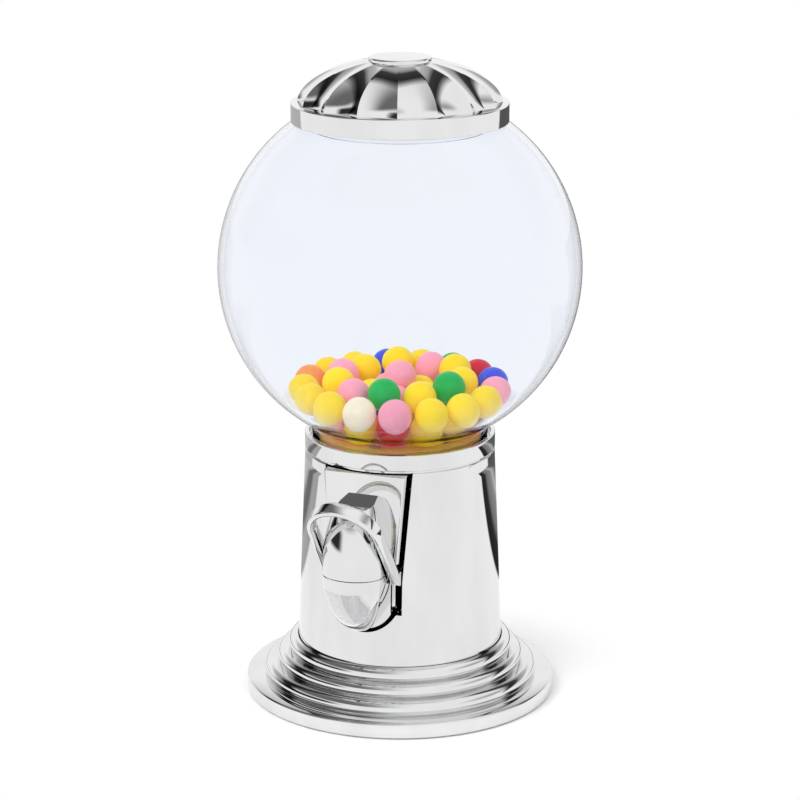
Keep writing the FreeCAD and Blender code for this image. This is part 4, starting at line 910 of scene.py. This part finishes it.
class Front(Assembly):
    """Panel with the hood and the catch cup."""

    sizes = FrontSizes()

    def panel(self) -> None:
        """Extrude the panel, hollow its back and cut the window and the lever's slots."""
        s = self.sizes
        panel = Bench.prism("panel_tray", FACE.outline(0, 0), (0, s.panel_depth, 0))
        Bench.pick(panel, "EDGE", lambda edge: all(
            abs(panel.data.vertices[end].co.y) < MERGE for end in edge.vertices))
        bpy.ops.mesh.bevel(offset=s.panel_round * MM, segments=4, affect="EDGES")
        Bench.pick(panel, "FACE", lambda face: face.normal.y > 0.9)
        bpy.ops.mesh.inset(thickness=s.panel_wall * MM)
        inwards = (0, (s.panel_plate - s.panel_depth) * MM, 0)
        bpy.ops.mesh.extrude_region_move(TRANSFORM_OT_translate={"value": inwards})
        bpy.ops.object.mode_set(mode="OBJECT")
        low = (-s.window_half, -s.window_cut, s.window_low)
        Bench.carve(panel, Bench.block("window", low, (s.window_half, s.window_cut, s.window_high)))
        FACE.lean_back(panel)
        for side in (-1, 1):
            Bench.carve(panel, FACE.slot("slot", side * FACE.waist, side * FACE.slot_beyond))
        self.fit(Bench.smooth(panel), "front_panel", "chrome")

    def nose(self, name: str, inset: float, levels: Sequence[Ring]) -> Object:
        """Raise the level outline of the hood or cup through heights at shares of its full size.

        Args:
            name: Name of the new object.
            inset: How far inside the outer skin it lies, in millimetres.
            levels: Share of the full size and height of each level.

        Returns:
            A closed solid with its back on the plane Y = 0.
        """
        s = self.sizes
        half = s.half - inset
        front = s.depth - inset - s.straight
        outline = run((half, 0.0), (half, -s.straight), 6)
        outline += oval(half, -front, (0, -s.straight), spread(0, math.pi, s.turns)[1:-1])
        outline += run((-half, -s.straight), (-half, 0.0), 6)
        share, height = levels[0]
        body = Bench.sheet(name, [(x * share, y * share, height) for x, y in outline])
        for (share, height), (next_share, next_height) in zip(levels, levels[1:]):
            rise = (0, 0, (next_height - height) * MM)
            bpy.ops.mesh.extrude_region_move(TRANSFORM_OT_translate={"value": rise})
            ratio = next_share / share
            bpy.ops.transform.resize(value=(ratio, ratio, 1), center_override=(0, 0, 0))
        return Bench.close(body)

    def hood_nose(self, inset: float) -> Object:
        """Outer or inner body of the hood, cut off by its sloping top."""
        s = self.sizes
        turns = spread(0, math.radians(s.hood_end), s.levels)
        levels = [(1.0, s.hood_low)] + oval(1.0, s.hood_rise - inset, (0, s.hood_waist), turns)
        body = self.nose("hood_nose", inset, levels)
        Bench.slice(body, (0, 0, s.hood_top - inset), (0, -s.hood_slope, 1))
        return Bench.close(body)

    def hood(self) -> None:
        """Hollow the nose from below and ease its edges."""
        s = self.sizes
        hood = self.hood_nose(0)
        inside = self.hood_nose(s.wall)
        inside.location = (0, 0, -HAIR * MM)
        Bench.carve(hood, Bench.settle(inside))
        Bench.ease(hood, s.hood_ease, 3, 35)
        FACE.lean_back(hood)
        Bench.modify(Bench.smooth(hood, 40), "WEIGHTED_NORMAL", keep_sharp=True)
        self.fit(hood, "chute_hood", "chrome")

    def cup_nose(self, inset: float) -> Object:
        """Outer or inner body of the cup, a long egg below its rim."""
        s = self.sizes
        turns = spread(0, math.radians(s.cup_end), s.levels)
        return self.nose("cup_shell", inset, oval(1.0, inset - s.cup_drop, (0, s.cup_rim), turns))

    def cup(self) -> None:
        """Hollow the egg and cut its half-moon mouth."""
        s = self.sizes
        cup = self.cup_nose(0)
        inside = self.cup_nose(s.wall)
        inside.location = (0, HAIR * MM, HAIR * MM)
        Bench.carve(cup, Bench.settle(inside))
        edge = s.cup_rim - s.cup_band
        low = oval(-s.mouth_half, -s.mouth_tall, (0, edge), spread(0, math.pi, 41))
        high = arc((s.mouth_half, edge), (0, edge - s.mouth_sag), (-s.mouth_half, edge), 13)
        corners = [(x, -s.mouth_back, z) for x, z in low[:-1] + high[:-1]]
        Bench.carve(cup, Bench.prism("mouth", corners, (0, -s.mouth_cut, 0)))
        Bench.ease(cup, s.cup_ease, 2, 50)
        FACE.lean_back(cup)
        Bench.modify(Bench.smooth(cup, 40), "WEIGHTED_NORMAL", keep_sharp=True)
        self.fit(cup, "catch_cup", "chrome")
        self.line(cup)

    def line(self, cup: Object) -> None:
        """Give the faces that look into the cup a pale lining with a painted glow, which stands in for the
        light seen inside the cup.
        """
        cup.data.materials.append(self.finishes.by_slot["cup_lining_painted_glow"])
        middle = -(FACE.foot - FACE.lean * self.sizes.cup_rim + self.sizes.straight) * MM
        for face in cup.data.polygons:
            outwards = face.center - Vector((0, middle, face.center.z))
            below = self.sizes.cup_rim * MM - face.center.z
            inner_wall = face.normal.dot(outwards.normalized()) < self.sizes.inwards and below > MERGE
            if inner_wall or (face.normal.z > self.sizes.upwards and below > self.sizes.cup_band * MM):
                face.material_index = 1

    def build(self) -> None:
        """Make the three pieces."""
        self.panel()
        self.hood()
        self.cup()


@dataclass
class LeverSizes:
    """Driving sizes of the stirrup, its legs and hubs."""

    incline: float = 52.8
    start: float = 70.5
    reach: float = 53.0
    bar: float = 3.0
    low_half: float = 17.9
    high_half: float = 17.7
    depth: float = 6.8
    crown: float = 19.6
    rounding: float = 1.2
    hub_radius: float = 5.6
    hub_start: float = 11.9
    pivot_y: float = -24.493
    pivot_z: float = 75.853
    shield_thick: float = 1.6
    shield: tuple[Ring, ...] = (
        (-47.48, 70.5), (-48.04, 57.16), (-42.66, 51.9), (-24.49, 70.81), (-24.49, 75.85)
    )
    leg_ease: float = 0.6
    leg_top: float = 0.7
    leg_low: float = 0.9
    heel_back: float = 3.0
    heel_drop: float = 3.2
    turns: int = 40


class Lever(Assembly):
    """Stirrup lever that is pulled down to let one ball go."""

    body = "lever"
    sizes = LeverSizes()

    def half_arch(self, inset: float) -> list[Ring]:
        """Outline of the stirrup from its right foot over the crown to its left foot."""
        s = self.sizes
        turns = spread(0, math.pi, s.turns)
        crown = oval(s.high_half - inset, s.crown - inset, (0, s.reach - s.crown), turns)
        return [(s.low_half - inset, 0.0)] + crown + [(inset - s.low_half, 0.0)]

    def plate(self, name: str, outline: Sequence[Ring], start: float, thick: float) -> Object:
        """Extrude an outline, seen from the side, across the machine."""
        return Bench.prism(name, [(start, y, z) for y, z in outline], (thick, 0, 0))

    def build(self) -> None:
        """Extrude the stirrup, lean it on its start and add the legs and hubs."""
        s = self.sizes
        outline = self.half_arch(0) + self.half_arch(s.bar)[::-1]
        corners = [(x, -s.depth / 2, along) for x, along in outline]
        stirrup = Bench.prism("lever_stirrup", corners, (0, s.depth, 0))
        Bench.ease(stirrup, s.rounding, 5, 50)
        face_y = -(FACE.foot - FACE.lean * s.start)
        stirrup.rotation_euler = (math.radians(90 - s.incline), 0, 0)
        stirrup.location = (0, face_y * MM, s.start * MM)
        Bench.settle(stirrup)
        lean = math.radians(s.incline)
        across_y = s.depth / 2 * math.sin(lean)
        across_z = s.depth / 2 * math.cos(lean)
        elbow = [(face_y - across_y, s.start - across_z), (face_y + across_y, s.start + across_z),
                 (s.pivot_y, s.pivot_z + s.hub_radius * s.leg_top),
                 (s.pivot_y, s.pivot_z - s.hub_radius * s.leg_low),
                 (face_y + s.heel_back * across_y, s.start - s.heel_drop * across_z)]
        round_turns = spread(0, 2 * math.pi, s.turns)[:-1]
        circle = oval(s.hub_radius, s.hub_radius, (s.pivot_y, s.pivot_z), round_turns)
        for side in (-1, 1):
            inner = side * (s.low_half - s.bar)
            start = side * s.hub_start
            leg = self.plate("leg", elbow, inner, side * s.bar)
            Bench.ease(leg, s.leg_ease, 3, 30)
            hub = self.plate("hub", circle, start, side * (s.low_half - s.hub_start))
            shield = self.plate("shield", s.shield, inner, side * s.shield_thick)
            for piece in (leg, hub, shield):
                Bench.weld(stirrup, piece)
        self.fit(Bench.smooth(Bench.close(stirrup), 35), "lever", "chrome")


@dataclass
class GlobeSizes:
    """Driving sizes of the blown globe."""

    radius: float = 85.2
    wall: float = 2.8
    centre: float = 206.8
    neck: float = 41.5
    neck_round: float = 3.0
    lip_inner: float = 35.0
    lip_low: float = 123.4
    lip_top: float = 126.4
    mouth: float = 46.49
    flare: float = 0.6
    bow_out: float = 0.35
    bow_share: float = 0.35
    levels: int = 90


class Globe(Assembly):
    """Glass globe with a neck and an open mouth."""

    sizes = GlobeSizes()

    def sphere(self, radius: float, low_radius: float, high_radius: float) -> list[Ring]:
        """Points of a sphere from a lower ring up to a higher ring."""
        first = -math.acos(low_radius / radius)
        last = math.acos(high_radius / radius)
        return oval(radius, radius, (0, self.sizes.centre), spread(first, last, self.sizes.levels))

    def build(self) -> None:
        """Turn the outer and inner wall as one closed wall."""
        s = self.sizes
        inside = s.radius - s.wall
        rise = math.sqrt(s.radius ** 2 - s.mouth ** 2)
        mouth_inner = math.sqrt(inside ** 2 - rise ** 2)
        outer = self.sphere(s.radius, s.neck + s.neck_round * s.flare, s.mouth)
        inner = self.sphere(inside, s.neck - s.wall, mouth_inner)[::-1]
        neck_top = outer[0][1]
        waist = (s.neck + s.bow_out, neck_top - s.neck_round * s.bow_share)
        fillet = arc((s.neck, neck_top - s.neck_round), waist, outer[0], 6)[:-1]
        rings = [(s.lip_inner, s.lip_low), (s.neck, s.lip_low)] + fillet + outer + inner
        rings += [(s.neck - s.wall, s.lip_top), (s.lip_inner, s.lip_top), (s.lip_inner, s.lip_low)]
        self.fit(Bench.smooth(Bench.lathe("glass_globe", rings, FINE_STEPS), 50), "globe", "glass")


@dataclass
class BallSizes:
    """Size of one gumball and how far it may be out of round."""

    radius: float = 7.875
    uneven: float = 0.012
    dent: float = 0.22
    dent_wide: float = 7.0
    seed: int = 7


class Gumballs(Assembly):
    """Loose candy balls, one object for each colour."""

    sizes = BallSizes()

    def __init__(self, finishes: Finishes, nodes: dict[str, Object]) -> None:
        """Keep the finishes and the nodes, whose solids say where the balls lie."""
        super().__init__(finishes)
        self.nodes = nodes
        self.chance = random.Random(self.sizes.seed)

    def centres(self, node: str) -> list[Vector]:
        """Middle of each ball of a node."""
        copy = self.nodes[node].copy()
        copy.data = copy.data.copy()
        copy.parent = None
        bpy.context.scene.collection.objects.link(copy)
        Bench.edit(copy)
        bpy.ops.mesh.remove_doubles(threshold=MERGE)
        bpy.ops.mesh.separate(type="LOOSE")
        bpy.ops.object.mode_set(mode="OBJECT")
        middles = []
        for part in list(bpy.context.selected_objects):
            corners = [Vector(corner) for corner in part.bound_box]
            middles.append((corners[0] + corners[6]) / 2)
            bpy.data.objects.remove(part)
        return middles

    def ball(self) -> Object:
        """Model one ball."""
        Bench.clear()
        bpy.ops.mesh.primitive_uv_sphere_add(segments=40, ring_count=20, radius=self.sizes.radius * MM)
        return Bench.smooth(bpy.context.object, 60)

    def build(self) -> None:
        """Copy the ball to every place, turned and a little out of round."""
        first = self.ball()
        lumps = bpy.data.textures.new("candy_lumps", "CLOUDS")
        lumps.noise_scale = self.sizes.dent_wide * MM
        for gum in Gum:
            copies = []
            for middle in self.centres(gum.node):
                copy = first.copy()
                copy.data = first.data.copy()
                bpy.context.scene.collection.objects.link(copy)
                out = self.sizes.uneven
                copy.scale = [1 - out * self.chance.random() for _ in range(3)]
                copy.rotation_euler = [self.chance.uniform(0, math.pi) for _ in range(3)]
                copy.location = middle
                Bench.settle(copy)
                copies.append(copy)
            balls = Bench.join(copies, "candy_" + gum.name.lower())
            Bench.modify(balls, "DISPLACE", texture=lumps, strength=self.sizes.dent * MM, mid_level=1.0)
            self.fit(balls, gum.node, gum.slot)
        bpy.data.objects.remove(first)


@dataclass
class LidSizes:
    """Driving sizes of the fluted lid and its button."""

    radius: float = 50.39
    wall: float = 1.8
    band_low: float = 276.12
    band_top: float = 285.3
    band_round: float = 0.5
    dome_base: float = 284.0
    dome_radius: float = 47.49
    dome_rise: float = 21.4
    crown: float = 15.6
    flutes: int = 16
    flute_low: float = 2.2
    flute_high: float = 0.7
    flute_turn: float = 20.0
    flute_steps: int = 16
    near: float = 0.01
    off_dome: float = 0.001
    levels: int = 28
    lip: float = 1.6
    lip_slope: float = 0.5
    inner_room: float = 0.9
    seat_room: float = 0.2
    screw_hole: float = 1.5
    bow_out: float = 0.72
    bow_up: float = 0.7
    knob_radius: float = 14.5
    knob_seat: float = 303.613
    knob_top: float = 306.013
    knob_round: float = 0.7
    knob_flat: float = 2.0
    bore: float = 1.45
    bore_deep: float = 1.8


class Lid(Assembly):
    """Lid with sixteen hollow flutes that meet at sharp ridges, and a flat button."""

    body = "lid"
    sizes = LidSizes()

    def dome_turns(self) -> Ring:
        """Turns of the dome's ellipse at its foot and at its crown."""
        s = self.sizes
        return math.asin((s.band_top - s.dome_base) / s.dome_rise), math.acos(s.crown / s.dome_radius)

    def flute(self, shell: Object) -> None:
        """Press the hollows into the dome between its ridges."""
        s = self.sizes
        base_turn, crown_turn = self.dome_turns()
        pitch = 2 * math.pi / s.flutes
        first = math.radians(s.flute_turn - 90)
        for vertex in shell.data.vertices:
            x, y, z = vertex.co / MM
            ridge = math.hypot(x, y)
            high = (z - s.dome_base) / s.dome_rise
            above_band = z > s.band_top - s.near and ridge < s.dome_radius
            if not above_band or abs((ridge / s.dome_radius) ** 2 + high ** 2 - 1) > s.off_dome:
                continue
            share = (math.asin(min(high, 1.0)) - base_turn) / (crown_turn - base_turn)
            depth = s.flute_low + (s.flute_high - s.flute_low) * share
            depth += ridge * (1 - math.cos(pitch / 2))
            across = ((math.atan2(y, x) - first) / pitch) % 1.0
            scale = 1 - depth * (1 - (2 * across - 1) ** 2) / ridge
            vertex.co = Vector((x * scale, y * scale, z)) * MM

    def shell(self) -> None:
        """Turn the band and the dome, then flute the dome."""
        s = self.sizes
        dome = oval(s.dome_radius, s.dome_rise, (0, s.dome_base), spread(*self.dome_turns(), s.levels))
        inner = s.radius - s.wall
        lip = s.band_low + s.lip
        inner_dome = s.dome_radius - s.flute_low - s.wall - s.inner_room
        shoulder = s.band_top - s.wall
        roof = s.knob_seat - s.wall
        seat = s.knob_radius + s.seat_room
        bow = (inner_dome * s.bow_out, shoulder + (roof - shoulder) * s.bow_up)
        rings = [(inner, lip), (inner, lip - s.lip_slope)]
        rings += eased(s.radius, s.band_low, s.band_top, s.band_round) + dome
        rings += [(seat, dome[-1][1]), (seat, s.knob_seat)]
        rings += [(s.screw_hole, s.knob_seat), (s.screw_hole, roof)]
        rings += arc((s.crown, roof), bow, (inner_dome, shoulder), 12)
        rings += [(inner, shoulder), (inner, lip)]
        shell = Bench.lathe("fluted_lid", rings, s.flutes * s.flute_steps)
        shell.rotation_euler = (0, 0, math.radians(s.flute_turn - 180))
        Bench.settle(shell)
        self.flute(shell)
        self.fit(Bench.smooth(shell, 24), "lid_shell", "chrome")

    def knob(self) -> None:
        """Turn the flat button and sink the blind bore for its screw."""
        s = self.sizes
        edge = s.knob_round
        slack = edge * (1 - math.sqrt(0.5))
        rings = [(s.bore, s.knob_seat), (s.knob_radius, s.knob_seat)]
        rings += arc((s.knob_radius, s.knob_top - edge), (s.knob_radius - slack, s.knob_top - slack),
                     (s.knob_radius - edge, s.knob_top), 6)
        rings += [(s.knob_radius - s.knob_flat, s.knob_top), (0, s.knob_top)]
        knob = Bench.lathe("lid_button", rings)
        Bench.edit(knob, "DESELECT")
        bpy.ops.mesh.select_non_manifold()
        bpy.ops.mesh.extrude_region_move(TRANSFORM_OT_translate={"value": (0, 0, s.bore_deep * MM)})
        bpy.ops.mesh.edge_face_add()
        self.fit(Bench.smooth(Bench.close(knob)), "lid_knob", "chrome")

    def build(self) -> None:
        """Make both pieces."""
        self.shell()
        self.knob()


class Works(Assembly):
    """Pieces that keep their modelled solid and only get a finish."""

    def build(self, frame: dict, made: set[str]) -> None:
        """Dress every node that no new piece stands for.

        Args:
            frame: The loaded frame.
            made: Nodes that already have a new piece.
        """
        for part in frame["record"]["subparts"]:
            node, slot = part["node"], part["material_slot"]
            if node not in made:
                self.finishes.dress(frame["nodes"][node], slot)
                LOG.info("dressed %s as %s", node, slot)


@dataclass
class StudioSizes:
    """Places and levels of the camera, floor, mirrored room and light, in metres and degrees.

    A pair of numbers says where a zone begins and where it is full.
    """

    camera_turn: float = 21.5
    camera_away: float = 1.3012
    camera_high: float = 0.5055
    camera_pitch: float = 0.272
    focal: float = 2853.0
    frame: float = 800.0
    sensor: float = 36.0
    fill: float = 1.0
    floor_half: float = 6.0
    floor_white: float = 0.97
    shadow: Ring = (0.075, 0.13)
    edge_back: float = 0.15
    edge_deep: float = 0.35
    middle: Ring = (0.012, 0.045)
    sides: Ring = (-0.04, 0.04)
    near: Ring = (0.6, 0.7)
    far_turns: Ring = (125.0, 129.0)
    far_left: float = 0.5
    far_right: float = 0.4
    key_turn: float = -42.0
    key_away: float = 1.1
    key_high: float = 1.25
    key_aim: float = 0.17
    key_size: float = 0.9
    key_power: float = 10.0


@dataclass(frozen=True)
class DarkZone:
    """A dark part of the mirrored room, bounded by the parts of a direction from the machine."""

    side: Ring
    up: Ring
    dark: float
    front: Ring | None = None
    below: Ring | None = None

    def level(self, front: Wire, side: Wire, up: Wire) -> Wire:
        """How dark the zone is in a direction."""
        shade = side.rise(*self.side) * up.rise(*self.up) * self.dark
        if self.front:
            shade = shade * front.rise(*self.front)
        if self.below:
            shade = shade * up.rise(*self.below)
        return shade


class Studio:
    """White floor, even light, the camera, and a room with dark zones that only mirrors show."""

    sizes = StudioSizes()
    right_stripes = ((0.0, 1.0), (0.03, 0.02), (0.17, 0.03), (0.25, 0.20),
                     (0.40, 0.28), (0.48, 0.5), (0.60, 0.12), (1.0, 0.1))
    left_stripes = ((0.0, 1.0), (0.04, 0.42), (0.2, 0.45), (0.3, 0.16),
                    (0.42, 0.2), (0.52, 0.55), (0.8, 0.6), (1.0, 0.5))
    roof = ((0.0, 1.0), (0.63, 1.0), (0.685, 0.2), (0.71, 0.03),
            (0.77, 0.05), (0.8, 0.4), (0.84, 0.55), (0.875, 1.0))
    zones = (
        DarkZone((0.2, -0.55), (0.38, 0.62), 0.84, front=(-0.85, -0.45)),
        DarkZone((0.65, 0.95), (0.2, 0.5), 0.7),
        DarkZone((-0.7, -0.9), (-0.02, 0.08), 0.97, below=(0.5, 0.3)),
    )

    def towards(self, turn: float, away: float, high: float) -> Vector:
        """Point at an angle from the camera's side round the machine's axis."""
        angle = math.radians(self.sizes.camera_turn + turn)
        return Vector((math.sin(angle) * away, -math.cos(angle) * away, high))

    def camera(self) -> None:
        """Set up the camera at the photograph's viewing angle."""
        s = self.sizes
        Bench.clear()
        data = bpy.data.cameras.new("camera")
        data.sensor_width = s.sensor
        data.lens = s.focal / s.frame * s.sensor
        camera = bpy.data.objects.new("camera", data)
        bpy.context.scene.collection.objects.link(camera)
        camera.location = self.towards(0, s.camera_away, s.camera_high)
        camera.rotation_euler = (math.pi / 2 - s.camera_pitch, 0, math.radians(s.camera_turn))
        bpy.context.scene.camera = camera

    def axes(self, shader: Shader, spot: Wire) -> tuple[Wire, Wire, Wire]:
        """Parts of a vector towards the camera's side, to its right, and up."""
        split = shader.node("ShaderNodeSeparateXYZ", None, {0: spot})
        x, y, z = (shader.out(split, axis) for axis in range(3))
        turn = math.radians(self.sizes.camera_turn)
        return x * math.sin(turn) - y * math.cos(turn), x * math.cos(turn) + y * math.sin(turn), z

    def mirrored(self, shader: Shader, spot: Wire, away: Wire) -> Wire:
        """Level of the floor in mirrors: white in front, and grey stripes beyond its rear edge."""
        s = self.sizes
        front, side, _ = self.axes(shader, spot)
        deep = (-s.edge_back - front) * (1 / s.edge_deep)
        on_right = side.rise(*s.sides)
        left, right = (shader.ramp(deep, stripes) for stripes in (self.left_stripes, self.right_stripes))
        inner, outer = s.middle
        aside = side.rise(inner, outer).most(side.rise(-inner, -outer))
        near = shader.blend(aside, WHITE, shader.blend(on_right, left, right))
        behind = (front / away).rise(*(math.cos(math.radians(turn)) for turn in s.far_turns))
        far = 1.0 - (s.far_left + s.far_right * on_right) * behind
        return shader.blend(away.rise(*s.near), near, far)

    def floor(self) -> None:
        """Lay a floor that shows white from afar and keeps the shadow near the foot."""
        s = self.sizes
        Bench.clear()
        bpy.ops.mesh.primitive_grid_add(x_subdivisions=4, y_subdivisions=4, size=2 * s.floor_half)
        floor = bpy.context.object
        floor.name = "floor"
        shader = Shader.material("white_sweep")
        spot = shader.place((1, 1, 0))
        away = shader.out(shader.node("ShaderNodeVectorMath", {"operation": "LENGTH"}, {0: spot}), "Value")
        seen = shader.ray("Camera").most(shader.ray("Transmission")).most(shader.ray("Glossy"))
        matte = shader.surface(Base_Color=grey(s.floor_white), Roughness=1.0, Specular_IOR_Level=0.0)
        mirror = shader.ray("Glossy") * (1 - shader.ray("Transmission"))
        shown = shader.blend(mirror, WHITE, self.mirrored(shader, spot, away))
        glow = shader.out(shader.node("ShaderNodeEmission", None, {"Color": shown, "Strength": 1.0}))
        shader.finish(shader.either(seen * away.rise(*s.shadow), matte, glow))
        floor.data.materials.append(shader.made)

    def world(self) -> None:
        """Light the room evenly, and show mirrors a dark band overhead and dark zones at the sides."""
        world = bpy.data.worlds.new("studio")
        bpy.context.scene.world = world
        world.use_nodes = True
        shader = Shader(world.node_tree, world)
        directions = self.axes(shader, shader.out(shader.node("ShaderNodeTexCoord"), "Generated"))
        front, _, up = directions
        overhead = shader.ramp(up.turned_from(front) * (1 / math.pi), self.roof)
        left, right, far = (zone.level(*directions) for zone in self.zones)
        level = (1.0 - left.most(right).most(far)) * overhead
        glossy = shader.ray("Glossy")
        clear = shader.ray("Camera").most(shader.ray("Transmission"))
        strength = clear + (1 - clear) * (glossy * level + (1 - glossy) * self.sizes.fill)
        sky = shader.node("ShaderNodeBackground", None, {"Color": WHITE, "Strength": strength})
        shader.finish(shader.out(sky), "ShaderNodeOutputWorld")

    def lamps(self) -> None:
        """Hang a soft key light up to the left of the camera that mirrors and glass don't show."""
        s = self.sizes
        Bench.clear()
        data = bpy.data.lights.new("key", "AREA")
        data.shape = "DISK"
        data.size = s.key_size
        data.energy = s.key_power
        key = bpy.data.objects.new("key", data)
        bpy.context.scene.collection.objects.link(key)
        key.location = self.towards(s.key_turn, s.key_away, s.key_high)
        aim = Vector((0, 0, s.key_aim)) - key.location
        key.rotation_euler = aim.to_track_quat("-Z", "Y").to_euler()
        key.visible_glossy = False
        key.visible_transmission = False

    def build(self) -> None:
        """Set up everything round the machine."""
        self.camera()
        self.floor()
        self.world()
        self.lamps()
        bpy.context.scene.view_settings.view_transform = "Standard"


def main() -> None:
    """Build the machine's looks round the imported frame."""
    logging.basicConfig(level=logging.INFO)
    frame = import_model()
    finishes = Finishes()
    Studio().build()
    Foot(finishes).build()
    Column(finishes).build()
    Front(finishes).build()
    Lever(finishes).build()
    Globe(finishes).build()
    Gumballs(finishes, frame["nodes"]).build()
    Lid(finishes).build()
    made = {"foot", "column", "seat_ring", "front_panel", "chute_hood", "catch_cup", "lever", "globe",
            "lid_shell", "lid_knob"} | {gum.node for gum in Gum}
    Works(finishes).build(frame, made)


if __name__ == "__main__":
    main()
